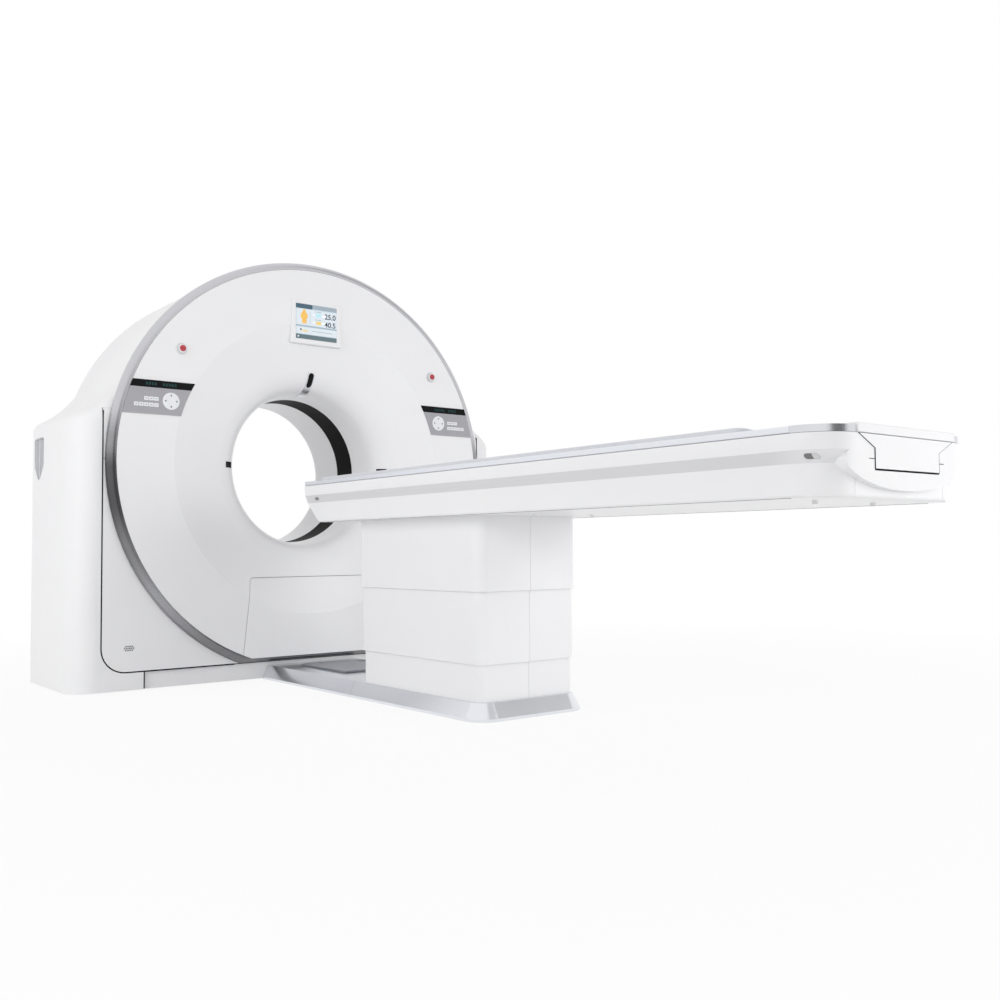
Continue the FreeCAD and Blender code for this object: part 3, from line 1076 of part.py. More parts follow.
def table_beam():
    """Side panels, rails, tail, deck and what closes the beam."""
    seam = f"({TAIL} + tail_seam)"
    wall = cut("beam_wall", beam_form("beam_outer", "0"), beam_form("beam_inner", "panel_wall"),
               nose_region("nose_cut", "0"))
    inset_top = "rail_low - seam_gap"
    recess = pad("inset_recess", "Y", (f"{TAIL} - 1", f"{TAIL} + tail_corner"),
                 [("-inset_half - seam_gap", "inset_low - inset_foot_gap"),
                  ("inset_half + seam_gap", "inset_low - inset_foot_gap"),
                  ("inset_half + seam_gap", "inset_high"), ("inset_top_half + seam_gap", inset_top),
                  ("inset_top_half + seam_gap", "rail_low"), ("-inset_top_half - seam_gap", "rail_low"),
                  ("-inset_top_half - seam_gap", inset_top), ("-inset_half - seam_gap", "inset_high")])
    pan_edge = "(beam_round + pan_gap)"
    under_space = pad("under_space", "Z", ("beam_low - 1", "beam_low + panel_wall + 1"),
                      *tail_outline("(lower_inset + beam_round)", f"({LOWER_TAIL} + beam_round)",
                                    "lower_corner - beam_round"))
    ticks = [box(f"tick_{side}", ends, (f"-{FAR}", f"{TAIL} + panel_wall / 2"),
                 ("tick_height - joint_gap / 2", "tick_height + joint_gap / 2"))
             for side, ends in (("left", ("-tick_end", "-inset_half")), ("right", ("inset_half",
                 "tick_end")))]
    open_wall = cut("beam_open", wall, recess, under_space, *ticks)
    cap_space = box("cap_space", ("-cap_half", "cap_half"), (f"-{FAR}", seam), ("0", FAR))
    cap_seam = box("cap_seam", ("-cap_half - joint_gap", "cap_half + joint_gap"), (f"-{FAR}", seam),
                   ("0", "cap_seam_top"))
    left_half = common("panel_left_form", open_wall,
                       box("side_space", (f"-{FAR}", "0"), (f"-{FAR}", "0"), ("0", FAR)))
    holes = [oval(f"button_hole_{place}", ("-beam_half - 1", "-beam_half / 2"), f"(-{place})", "button_fit")
             for place in ("button_front", "button_rear")]
    left_panel = cut("panel_left", left_half, cap_space, cap_seam, *holes)
    node("left_side_panel", left_panel)
    node("right_side_panel", mirrored("panel_right", left_panel))
    proud_skin = beam_form("button_skin", "(-button_proud)")
    for end, place, depth in (("front", "button_front", "button_deep"), ("rear", "button_rear",
        "button_deep_rear")):
        prism = oval(f"{end}_button_form", ("-beam_half * 2", f"-beam_half + {depth}"), f"(-{place})", "0")
        left = common(f"{end}_button", prism, proud_skin)
        node(f"left_{end}_button", left)
        node(f"right_{end}_button", mirrored(f"{end}_button_mirrored", left))

    rail_ring = cut("rail_form", beam_plan("rail_outside", "0", TAIL, ("rail_low", "beam_top"),
        "tail_corner"),
                    beam_plan("rail_inside", "rail_width", TAIL, ("rail_low - 1", "beam_top + 1"),
                    "tail_corner"),
                    nose_region("rail_nose", "0"))
    rail = common("rail_left", rail_ring,
                  box("rail_space", (f"-{FAR}", "0"), (f"{seam} + seam_gap / 2", "0"), ("0", FAR)))
    node("side_rails", pair("rails", rail))
    corner = common("chrome_corner", rail_ring,
                    box("corner_space", (f"-{FAR}", "-lip_half - seam_gap / 2"),
                        (f"-{FAR}", f"{seam} - seam_gap / 2"), ("0", FAR)))
    node("tail_corners", pair("chrome_corners", corner))

    node("tail_cap", common("cap", open_wall, cap_space))
    node("tail_inset_panel", pad("inset", "Y", (f"{TAIL} - inset_proud", f"{TAIL} + panel_wall"),
         [("-inset_half", "inset_low"), ("inset_half", "inset_low"), ("inset_half", "inset_high"),
          ("inset_top_half", inset_top), ("-inset_top_half", inset_top), ("-inset_half", "inset_high")]))
    cradle_tail = "(-cradle_front - cradle_length)"
    node("tail_lip", box("lip", ("-lip_half", "lip_half"), (f"{TAIL} - lip_proud",
        f"{cradle_tail} - seam_gap * 5"),
                         ("rail_low", "lip_high")))

    inner = "(beam_half - rail_width - seam_gap / 2)"
    deck = box("deck_plate", (f"-{inner}", inner), (f"{TAIL} + rail_width", f"{NOSE} - seam_gap"),
               ("deck_top - deck_thick", "deck_top"))
    sides = [box(f"deck_side_{side}", ends, (f"{TAIL} + tail_corner", f"{NOSE} - seam_gap"),
                 ("deck_top - deck_thick", "rail_low + rail_deep"))
             for side, ends in (("left", (f"-{inner}", f"-{inner} + deck_thick / 2")),
                                ("right", (f"{inner} - deck_thick / 2", inner)))]
    glides = [box(f"glide_{side}", (f"{sign} * glide_half - glide_width / 2",
        f"{sign} * glide_half + glide_width / 2"),
                  ("-frame_tail", f"{NOSE} - nose_slope / 4"),
                  ("deck_top", "cradle_under - cradle_belly - glide_gap"))
              for side, sign in (("left", "-1"), ("right", "1"))]
    node("table_deck", fuse("deck", deck, *sides, *glides))
    closing = cut("nose_plate",
                  box("nose_room", ("-beam_half + panel_wall + seam_gap",
                  "beam_half - panel_wall - seam_gap"),
                      (f"{NOSE} - nose_slope * 2", "0"), ("beam_low + panel_wall", "deck_top - deck_thick")),
                  nose_region("nose_front", "0"))
    behind = common("nose_inside", closing, nose_region("nose_band", "panel_wall * 1.5"))
    side_room = "(lower_inset + panel_wall + seam_gap)"
    low_sides = [box(f"nose_side_{side}", ends, (f"-{FAR}", "0"), ("0", "band_top + panel_wall"))
                 for side, ends in (("left", (f"-{FAR}", f"-beam_half + {side_room}")),
                                    ("right", (f"beam_half - {side_room}", FAR)))]
    nose = cut("nose", behind, *low_sides)
    pan = pad("pan_plate", "Z", ("beam_low", "beam_low + panel_wall"),
              *tail_outline(f"(lower_inset + {pan_edge})", f"({LOWER_TAIL} + {pan_edge})",
                            f"lower_corner - {pan_edge}"))
    room = box("column_room", ("-column_low_half - seam_gap", "column_low_half + seam_gap"),
               (f"{COLUMN_MIDDLE} - column_spread - column_low_half - 1",
               f"{COLUMN_MIDDLE} + column_spread + column_low_half + 1"),
               ("0", FAR))
    feet = [cylinder(f"foot_{place}_{across}", "Z", ("beam_low - foot_high", "beam_low"), "foot_radius",
                     (f"{across} * pan_foot_x", f"(-{place})"))
            for across in (-1, 1) for place in ("pan_foot_front", "pan_foot_rear")]
    node("bottom_pan", fuse("bottom", cut("pan", pan, room, nose_region("pan_nose", "0")), nose, *feet))


def beam_inside():
    """Frame channels, glide rails, cradle drive and the cradle itself."""
    top = "(deck_top - deck_thick)"
    tubes = []
    for side, outer in (("left", ("-channel_half", "-channel_half + channel_width")),
                        ("right", ("channel_half - channel_width", "channel_half"))):
        hollow = (f"{outer[0]} + channel_wall", f"{outer[1]} - channel_wall")
        tubes.append(cut(f"channel_{side}",
                         box(f"channel_form_{side}", outer, ("-frame_tail", "-frame_nose"),
                         ("channel_low", top)),
                         box(f"channel_hollow_{side}", hollow, ("-frame_tail - 1", "-frame_nose + 1"),
                             ("channel_low + channel_wall", f"{top} - channel_wall"))))
    inner = "(channel_half - channel_width)"
    for place in range(4):
        middle = f"(-frame_nose - channel_width - {place} / 3 * (frame_tail - frame_nose - channel_width * 2))"
        tubes.append(box(f"cross_tie_{place}", (f"-{inner}", inner),
                         (f"{middle} - channel_width / 2", f"{middle} + channel_width / 2"),
                         ("channel_low", "channel_low + channel_width / 2")))
    node("beam_frame", fuse("channels", *tubes))
    node("cradle_drive", box("drive", ("-drive_width / 2", "drive_width / 2"),
                             ("-drive_place - drive_length", "-drive_place"), (f"{top} - drive_high", top)))

    belly = "(cradle_under - cradle_belly)"
    dip = "(cradle_edge - cradle_dip)"
    rim = "(cradle_half - cradle_rim)"
    radius = f"(({rim} * {rim} + cradle_dip * cradle_dip) / (2 * cradle_dip))"
    section = pad("cradle_section", "Y", ("-cradle_front - cradle_length", "-cradle_front"),
                  [("-cradle_half", "cradle_edge"), ("-cradle_half", "cradle_under"), ("-cradle_flat", belly),
                   ("cradle_flat", belly), ("cradle_half", "cradle_under"), ("cradle_half", "cradle_edge"),
                   (rim, "cradle_edge"), (f"-{rim}", "cradle_edge")],
                  {6: ("0", f"{dip} + {radius}", radius)})
    plan = rounded_block("cradle_plan", ("-cradle_half", "cradle_half"),
                         ("-cradle_front - cradle_length", "-cradle_front"), ("cradle_under - 99",
                         "cradle_edge + 99"),
                         "cradle_round", "cradle_round")
    node("cradle", common("cradle_form", section, plan))


# ---------------------------------------------------------------- pedestal and lift

def pedestal():
    """Three telescopic covers, the lift columns, base plate, skirt and hatch."""
    covers = {}
    for name, step, heights in (("upper", "0", ("upper_low", "beam_low")),
                                ("middle", "cover_step", ("middle_low", "upper_low + cover_lap")),
                                ("lower", "2 * cover_step", ("lower_low", "middle_low + cover_lap"))):
        def block(part, inset, z):
            half = f"(upper_half - {step} - {inset})"
            return rounded_block(part, (f"-{half}", half),
                                 (f"-upper_tail + {step} + {inset}", f"-upper_front - {step} - {inset}"), z,
                                 f"pedestal_round - {step} - {inset}", f"pedestal_round - {step} - {inset}")
        end_seam = box(f"{name}_end_seam", ("-joint_gap / 2", "joint_gap / 2"),
                       (f"-{FAR}", f"-upper_tail + {step} + end_seam_deep"), ("0", FAR))
        covers[name] = cut(f"{name}_cover", block(f"{name}_out", "0", heights),
                           block(f"{name}_in", "pedestal_wall", (f"{heights[0]} - 1", f"{heights[1]} + 1")),
                           end_seam)
        if name == "middle":
            shelf_low = "(column_low_top + lift_travel / 2 + seam_gap)"
            shelf = block("shelf", "pedestal_wall", (shelf_low, f"{shelf_low} + pedestal_wall"))
    widths = ["column_low_half"]
    for stage in range(2):
        widths.append(f"({widths[-1]} - column_wall - column_play)")

    def columns(stage, half, heights, hollow=True):
        """One stage of the two lift columns."""
        tubes = []
        for end, sign in (("front", "1"), ("rear", "-1")):
            centre = f"({COLUMN_MIDDLE} + {sign} * column_spread)"
            tube = box(f"column_{stage}_{end}", (f"-{half}", half), (f"{centre} - {half}",
                f"{centre} + {half}"), heights)
            if hollow:
                room = box(f"column_{stage}_{end}_hollow", (f"-{half} + column_wall",
                    f"{half} - column_wall"),
                           (f"{centre} - {half} + column_wall", f"{centre} + {half} - column_wall"),
                           (f"{heights[0]} - 1", f"{heights[1]} + 1"))
                tube = cut(f"column_{stage}_{end}_tube", tube, room)
            tubes.append(tube)
        return tubes

    under_head = "(channel_low - head_thick)"
    head = box("head_plate", ("-channel_half", "channel_half"),
               (f"{COLUMN_MIDDLE} - column_spread - column_low_half",
                f"{COLUMN_MIDDLE} + column_spread + column_low_half"), (under_head, "channel_low"))
    node("lift_carriage", fuse("carriage", head, *columns("inner", widths[2], ("inner_tube_low",
        under_head))))
    node("lift_middle_tubes", fuse("middle_tubes", *columns("middle", widths[1], ("column_mid_low",
        "column_mid_top"))))
    node("upper_pedestal_cover", covers["upper"])
    holes = columns("shelf_hole", f"({widths[1]} + column_play)", ("0", "beam_low"), hollow=False)
    node("middle_pedestal_cover", fuse("middle_with_shelf", covers["middle"], cut("shelf_plate", shelf,
        *holes)))
    node("lower_pedestal_cover", covers["lower"])
    node("lift_motor", cylinder("motor_can", "Z", ("base_thick", "base_thick + actuator_length"),
        "actuator_radius",
                                ("0", COLUMN_MIDDLE)))

    lean = "(skirt_slope * (base_thick - skirt_lip) / (skirt_top - skirt_lip) + skirt_wall + base_margin)"
    plate = rounded_block("base_plate", (f"-skirt_half + {lean}", f"skirt_half - {lean}"),
                          (f"-skirt_tail + {lean}", f"{SKIRT_FRONT} - skirt_wall - base_margin"),
                          ("0", "base_thick"), f"skirt_corner - {lean}", "base_margin")
    anchors = [cylinder(f"table_anchor_{across}_{end}", "Z", ("-1", "base_thick + 1"), "anchor_radius",
                        (f"{across} * table_anchor_x", f"{COLUMN_MIDDLE} + {end} * table_anchor_y"))
               for across in (-1, 1) for end in (-1, 1)]
    node("table_base", fuse("base_with_tubes", cut("table_base_plate", plate, *anchors),
                            *columns("outer", widths[0], ("base_thick", "column_low_top"))))

    def skirt_form(name, inset, top):
        half = f"(skirt_half - {inset})"
        rear = f"(-skirt_tail + {inset})"
        radius = f"(skirt_corner - {inset})"
        front = f"({SKIRT_FRONT} + skirt_slope * 4)"
        corners = [(f"-{half}", front), (f"-{half}", f"{rear} + {radius}"), (f"-{half} + {radius}", rear),
                   (f"{half} - {radius}", rear), (half, f"{rear} + {radius}"), (half, front)]
        arcs = {1: (f"-{half} + {radius}", f"{rear} + {radius}", radius),
                3: (f"{half} - {radius}", f"{rear} + {radius}", radius)}
        foot = pad(f"{name}_foot", "Z", ("0", "skirt_lip"), corners, arcs)
        lean = pad(f"{name}_lean", "Z", ("skirt_lip", top), corners, arcs)
        feature = lean.Tip
        feature.setExpression("TaperAngle", bound("-atan(skirt_slope / (skirt_top - skirt_lip))"))
        return common(f"{name}_trimmed", fuse(name, foot, lean),
                      box(f"{name}_space", (f"-{FAR}", FAR), (f"-{FAR}", SKIRT_FRONT), ("-1", FAR)))

    hollow = common("skirt_hollow", skirt_form("skirt_in", "skirt_wall", "skirt_top - skirt_wall"),
                    box("skirt_room", (f"-{FAR}", FAR), (f"-{FAR}", f"{SKIRT_FRONT} - skirt_wall"),
                    ("-1", FAR)))
    opening = box("skirt_opening", ("-column_low_half * 3", "column_low_half * 3"),
                  ("-upper_tail + pedestal_round * 2", "-upper_front - pedestal_round * 2"), ("0", FAR))
    outside = cut("skirt_outside", skirt_form("skirt_out", "0", "skirt_top"),
                  skirt_form("skirt_seam_floor", "end_seam_deep", "skirt_top - end_seam_deep"))
    seams = common("skirt_seams", outside, fuse("skirt_seam_lines",
                   box("skirt_side_seam", (f"-{FAR}", FAR),
                       ("-skirt_seam_y - joint_gap / 2", "-skirt_seam_y + joint_gap / 2"), ("-1", FAR)),
                   box("skirt_end_seam", ("-joint_gap / 2", "joint_gap / 2"),
                       (f"-{FAR}", "-upper_tail"), ("-1", FAR))))
    node("skirt", cut("skirt_shell", skirt_form("skirt_whole", "0", "skirt_top"), hollow, opening, seams))
    node("cable_hatch", rounded_block("hatch", ("-hatch_half", "hatch_half"), ("-hatch_rear", "-hatch_front"),
                                      ("skirt_top", "skirt_top + hatch_high"), "hatch_round", "hatch_round"))


for build in (side_covers, grip_inserts, front_covers, bore_and_rear, controls, frame_and_bearing,
              rotor_units, rotor_drive, table_beam, beam_inside, pedestal):
    build()

document.recompute()
failed = [part.Name for part in document.Objects if "Invalid" in part.State or "Error" in part.State]
for name, solid in NODES.items():
    shape = solid.Shape
    if shape.isNull() or not shape.isValid() or shape.Volume <= 0:
        failed.append(name)
if failed:
    raise RuntimeError("these did not build: " + ", ".join(failed))
os.makedirs("parts", exist_ok=True)
for name, solid in NODES.items():
    solid.Shape.exportStep(f"parts/{name}.step")
print(len(NODES), "pieces")
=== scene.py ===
import json
import math

import bmesh
import bpy
from mathutils import Matrix, Vector


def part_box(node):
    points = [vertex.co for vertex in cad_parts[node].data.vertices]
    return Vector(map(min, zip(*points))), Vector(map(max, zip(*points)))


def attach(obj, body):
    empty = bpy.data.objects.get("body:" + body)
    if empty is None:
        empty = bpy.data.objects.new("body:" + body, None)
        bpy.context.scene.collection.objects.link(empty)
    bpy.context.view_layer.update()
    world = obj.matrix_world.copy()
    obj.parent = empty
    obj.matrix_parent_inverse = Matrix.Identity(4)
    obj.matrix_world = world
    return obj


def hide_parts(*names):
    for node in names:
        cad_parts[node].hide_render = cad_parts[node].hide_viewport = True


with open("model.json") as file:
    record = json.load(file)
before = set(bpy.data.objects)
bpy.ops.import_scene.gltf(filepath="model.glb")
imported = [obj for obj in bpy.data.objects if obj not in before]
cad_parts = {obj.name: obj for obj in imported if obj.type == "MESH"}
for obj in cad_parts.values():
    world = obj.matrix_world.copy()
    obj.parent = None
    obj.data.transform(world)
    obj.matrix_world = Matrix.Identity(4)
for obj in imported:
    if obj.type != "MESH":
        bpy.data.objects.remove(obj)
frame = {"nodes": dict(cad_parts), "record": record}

scene = bpy.context.scene
nodes = frame["nodes"]
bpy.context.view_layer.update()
SLOTS = {part["node"]: part["material_slot"] for part in frame["record"]["subparts"]}
BODIES = {name: body for body, names in frame["record"]["behaviour"]["bodies"].items() for name in names}
SIDES = (("left", -1.0), ("right", 1.0))
QUARTER_TURN = [math.radians(angle) for angle in range(0, 91, 10)]

# Lengths are in metres. The scanner's front faces -Y, and the bore's axis runs along Y.
FRONT_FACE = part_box("front_cover")[0].y
COLUMN_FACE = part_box("corner_covers")[0].y
PLINTH_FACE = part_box("plinth_cover")[0].y
PANEL_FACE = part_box("control_panels")[0].y
STRIP_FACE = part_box("display_strips")[0].y
TAIL_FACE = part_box("tail_cap")[0].y


# ---------------------------------------------------------------- camera

# The photograph's view: degrees to the right of +Y, upwards, and round the line of sight.
VIEW_YAW, VIEW_PITCH, VIEW_ROLL = 38.4565, 2.6557, -0.4741
VIEW_PLACE = (-2.31, -4.6044, 0.5734)
FOCAL_LENGTH_MM, SENSOR_WIDTH_MM = 37.391, 36.0
NEAREST, FARTHEST = 0.05, 60.0


def photograph_camera():
    """The photograph's pinhole view: place, turn and focal length."""
    yaw, pitch, roll = (math.radians(angle) for angle in (VIEW_YAW, VIEW_PITCH, VIEW_ROLL))
    ahead = Vector((math.sin(yaw) * math.cos(pitch), math.cos(yaw) * math.cos(pitch), math.sin(pitch)))
    level = Vector((math.cos(yaw), -math.sin(yaw), 0.0))
    upright = level.cross(ahead)
    across = level * math.cos(roll) + upright * math.sin(roll)
    upward = upright * math.cos(roll) - level * math.sin(roll)
    turn = Matrix((across, upward, -ahead)).transposed().to_4x4()
    lens = bpy.data.cameras.new("photograph_view")
    lens.sensor_width = SENSOR_WIDTH_MM
    lens.lens = FOCAL_LENGTH_MM
    lens.clip_start = NEAREST
    lens.clip_end = FARTHEST
    camera = bpy.data.objects.new("photograph_view", lens)
    camera.matrix_world = Matrix.Translation(VIEW_PLACE) @ turn
    scene.collection.objects.link(camera)
    scene.camera = camera


# ---------------------------------------------------------------- node trees

def new_tree(name, kind, inputs, outputs):
    """A node tree with named sockets, and its two end nodes."""
    tree = bpy.data.node_groups.new(name, kind)
    for label, value_kind, value in inputs:
        socket = tree.interface.new_socket(label, in_out="INPUT", socket_type=f"NodeSocket{value_kind}")
        if value is not None:
            socket.default_value = value
    for label, value_kind in outputs:
        tree.interface.new_socket(label, in_out="OUTPUT", socket_type=f"NodeSocket{value_kind}")
    return tree, tree.nodes.new("NodeGroupInput"), tree.nodes.new("NodeGroupOutput")


def feed(tree, node, inputs):
    """Links each input to a socket, or sets a plain value on it."""
    for label, value in inputs.items():
        if isinstance(value, bpy.types.NodeSocket):
            tree.links.new(value, node.inputs[label])
        else:
            node.inputs[label].default_value = value


def wired(tree, kind, inputs, **settings):
    """A new node with its settings made and its inputs fed."""
    node = tree.nodes.new(kind)
    for label, value in settings.items():
        setattr(node, label, value)
    feed(tree, node, inputs)
    return node


def noise(tree, place, scale, detail, roughness):
    """A noise texture over the given coordinates."""
    return wired(tree, "ShaderNodeTexNoise", {
        "Vector": place, "Scale": scale, "Detail": detail, "Roughness": roughness}).outputs["Fac"]


def spread(tree, value, low, high, to_low=0.0, to_high=1.0):
    """Maps one range of a value to another, and holds it inside that."""
    return wired(tree, "ShaderNodeMapRange", {
        "Value": value, "From Min": low, "From Max": high, "To Min": to_low, "To Max": to_high},
        clamp=True).outputs["Result"]


def worked(tree, first, second, way):
    """Two values added, multiplied or compared."""
    return wired(tree, "ShaderNodeMath", {0: first, 1: second}, operation=way).outputs["Value"]


def tinted(tree, factor, first, second, way="MIX"):
    """Two colours worked together; a colour Mix node has them as its inputs 6 and 7."""
    return wired(tree, "ShaderNodeMix", {0: factor, 6: first, 7: second},
                 data_type="RGBA", blend_type=way).outputs[2]


# ---------------------------------------------------------------- shader effects

def new_effect(name, grain):
    """An empty skin effect; its grain is how fine the relief is."""
    return new_tree(name, "ShaderNodeTree", [("Place", "Vector", None), ("Grain", "Float", grain)],
                    [("Tone", "Float"), ("Gloss", "Float"), ("Height", "Float")])


def moulded_skin():
    """Moulded and lacquered skin: faint orange peel, and a slow drift of tone and gloss."""
    group, start, end = new_effect("moulded_skin", 420.0)
    place = start.outputs["Place"]
    peel = noise(group, place, start.outputs["Grain"], detail=2.0, roughness=0.4)
    slow = noise(group, place, 2.2, detail=4.0, roughness=0.6)
    smudge = noise(group, place, 5.0, detail=3.0, roughness=0.5)
    feed(group, end, {"Tone": spread(group, slow, 0.3, 0.7), "Gloss": spread(group, smudge, 0.35, 0.7),
                      "Height": peel})
    return group


def drawn_grain():
    """Brushed or drawn metal: fine lines along the piece, and slow bands across them."""
    group, start, end = new_effect("drawn_grain", 900.0)
    place = start.outputs["Place"]
    lines = noise(group, place, start.outputs["Grain"], detail=4.0, roughness=0.6)
    bands = noise(group, place, 30.0, detail=3.0, roughness=0.5)
    both = worked(group, lines, worked(group, bands, 0.5, "MULTIPLY"), "ADD")
    feed(group, end, {"Tone": spread(group, both, 0.5, 1.0), "Gloss": spread(group, lines, 0.3, 0.7),
                      "Height": lines})
    return group


def rough_skin():
    """Cast, painted or rubbery skin: pits and lumps with dust in the low places."""
    group, start, end = new_effect("rough_skin", 260.0)
    place = start.outputs["Place"]
    lumps = noise(group, place, start.outputs["Grain"], detail=6.0, roughness=0.65)
    dust = noise(group, place, 6.0, detail=5.0, roughness=0.65)
    both = worked(group, lumps, dust, "MULTIPLY")
    feed(group, end, {"Tone": spread(group, both, 0.12, 0.42), "Gloss": spread(group, dust, 0.3, 0.7),
                      "Height": lumps})
    return group


EFFECTS = {"moulded": moulded_skin(), "drawn": drawn_grain(), "rough": rough_skin()}
COAT_ROUGHNESS = 0.12


# ---------------------------------------------------------------- finishes

def linear(levels):
    """A colour from levels between 0 and 255."""
    shares = [level / 255.0 for level in levels]
    return [share / 12.92 if share <= 0.04045 else ((share + 0.055) / 1.055) ** 2.4 for share in shares]


def finish(name, pale, deep, rough, effect="moulded", grain=None, depth=2e-5, stretch=None, metallic=0.0,
           coat=0.0, specular=0.5, glow=None):
    """A procedural finish: two near tones, a range of roughness and a fine relief of a given depth."""
    material = bpy.data.materials.new(name)
    material.use_nodes = True
    tree = material.node_tree
    shader = tree.nodes["Principled BSDF"]
    place = tree.nodes.new("ShaderNodeTexCoord").outputs["Object"]
    if stretch:
        place = wired(tree, "ShaderNodeMapping", {"Vector": place, "Scale": stretch}).outputs["Vector"]
    skin = wired(tree, "ShaderNodeGroup", {"Place": place}, node_tree=EFFECTS[effect])
    if grain:
        feed(tree, skin, {"Grain": grain})
    colour = tinted(tree, skin.outputs["Tone"], (*linear(deep), 1.0), (*linear(pale), 1.0))
    relief = wired(tree, "ShaderNodeBump", {
        "Height": skin.outputs["Height"], "Distance": depth, "Strength": 1.0})
    feed(tree, shader, {
        "Base Color": colour, "Roughness": spread(tree, skin.outputs["Gloss"], 0.0, 1.0, *rough),
        "Normal": relief.outputs["Normal"], "Metallic": metallic, "Coat Weight": coat,
        "Coat Roughness": COAT_ROUGHNESS, "Specular IOR Level": specular})
    if glow:
        feed(tree, shader, {"Emission Color": colour, "Emission Strength": glow})
    return material


def finishes(*rows):
    """Finishes by name, from rows of name, pale and deep levels, range of roughness and further values."""
    return {name: finish(name, pale, deep, rough, **further) for name, pale, deep, rough, further in rows}


# One finish for each material slot of the record.
FINISHES = finishes(
    ("white_cover", (243, 243, 244), (241, 241, 243), (0.30, 0.34), dict(depth=4e-6, coat=0.1)),
    ("silver_trim", (204, 204, 208), (198, 198, 202), (0.26, 0.30),
     dict(grain=700.0, depth=1e-6, metallic=0.9)),
    ("bright_trim", (226, 227, 231), (221, 222, 227), (0.26, 0.30),
     dict(grain=300.0, depth=2e-6, metallic=1.0)),
    ("rail_silver", (236, 238, 243), (230, 233, 240), (0.28, 0.36),
     dict(effect="drawn", depth=4e-6, metallic=0.8, stretch=(1.0, 0.02, 1.0))),
    ("skirt_silver", (234, 236, 240), (228, 230, 236), (0.19, 0.24),
     dict(grain=700.0, depth=2e-6, metallic=0.92)),
    ("dark_window", (8, 8, 8), (5, 5, 5), (0.5, 0.6),
     dict(effect="rough", grain=500.0, depth=4e-6, specular=0.05)),
    ("panel_grey", (172, 171, 176), (164, 163, 169), (0.36, 0.44), dict(grain=900.0, depth=5e-6)),
    ("black_glass", (10, 12, 13), (6, 8, 9), (0.08, 0.14), dict(depth=2e-6, specular=0.14)),
    ("screen_glass", (203, 216, 225), (196, 210, 220), (0.14, 0.2), dict(depth=2e-6, glow=0.2)),
    ("red_button", (186, 60, 70), (170, 46, 58), (0.22, 0.32), dict(depth=4e-6, coat=0.3)),
    ("grey_insert", (222, 223, 225), (214, 215, 218), (0.36, 0.44), dict(depth=6e-6)),
    ("button_grey", (140, 140, 142), (120, 120, 123), (0.45, 0.55), dict(effect="rough", grain=900.0)),
    ("cradle_carbon", (228, 229, 233), (220, 221, 226), (0.34, 0.44), dict(grain=300.0, depth=6e-6)),
    ("frame_paint", (120, 124, 130), (98, 102, 108), (0.45, 0.6), dict(effect="rough")),
    ("machined_steel", (186, 187, 191), (160, 161, 166), (0.22, 0.36),
     dict(effect="drawn", metallic=1.0, stretch=(1.0, 1.0, 0.05))),
    ("cast_aluminium", (200, 201, 205), (176, 177, 182), (0.4, 0.55), dict(effect="rough", metallic=0.9)),
    ("unit_grey", (205, 206, 208), (188, 190, 193), (0.35, 0.5), dict(effect="rough", grain=500.0)),
    ("brass_tracks", (214, 180, 108), (186, 148, 80), (0.2, 0.34),
     dict(effect="drawn", metallic=1.0, stretch=(1.0, 12.0, 1.0))),
    ("belt_rubber", (52, 52, 52), (36, 36, 36), (0.6, 0.75), dict(effect="rough", grain=600.0)),
    ("lead_grey", (134, 136, 140), (104, 106, 112), (0.5, 0.65), dict(effect="rough", metallic=0.6)))

# Details that share another piece's slot.
DETAILS = finishes(
    ("key_face", (240, 241, 244), (234, 235, 239), (0.32, 0.40), dict(depth=4e-6)),
    ("legend_ink", (126, 127, 134), (116, 117, 124), (0.45, 0.55), dict(depth=2e-6)),
    ("lit_segment", (30, 66, 64), (20, 50, 49), (0.2, 0.3), dict(depth=2e-6, glow=0.1, specular=0.2)),
    # Black for the painted shadow in open seams, and for the painted shade in the loudspeaker's holes.
    ("painted_shadow_black", (12, 12, 12), (8, 8, 8), (0.6, 0.75), dict(effect="rough", grain=500.0, specular=0.1)),
    ("pale_flange", (240, 239, 240), (234, 233, 235), (0.30, 0.36), dict(depth=4e-6)),
    ("skirt_cover", (150, 152, 159), (140, 142, 150), (0.30, 0.38),
     dict(grain=700.0, depth=2e-6, metallic=0.6)),
    ("rear_key", (128, 128, 128), (112, 112, 112), (0.45, 0.55), dict(effect="rough", grain=900.0)),
    # The band's finish is a painted shade, darker than the cover, for the faces that lean in under the beam.
    ("band_painted_shade", (218, 218, 220), (215, 215, 217), (0.34, 0.38), dict(depth=4e-6)))

# The lit colours of what the screen shows.
SCREEN_TONES = {
    label: finish(f"screen_{label}", pale, deep, (0.16, 0.22), depth=2e-6, glow=0.2)
    for label, pale, deep in (
        ("header", (70, 96, 112), (60, 86, 104)), ("bar", (158, 172, 182), (148, 163, 174)),
        ("footer", (96, 116, 122), (86, 106, 113)), ("pane", (218, 226, 232), (210, 219, 226)),
        ("figure", (240, 192, 96), (232, 180, 84)), ("cool", (190, 228, 236), (180, 221, 230)),
        ("warm", (238, 206, 110), (230, 196, 98)), ("figures_ink", (64, 72, 84), (54, 62, 74)),
        ("light", (244, 247, 250), (238, 242, 246)))
}

# Nodes that take a detail's finish in place of their slot's.
OWN_FINISH = {"cable_hatch": "skirt_cover", "left_rear_button": "rear_key", "right_rear_button": "rear_key"}


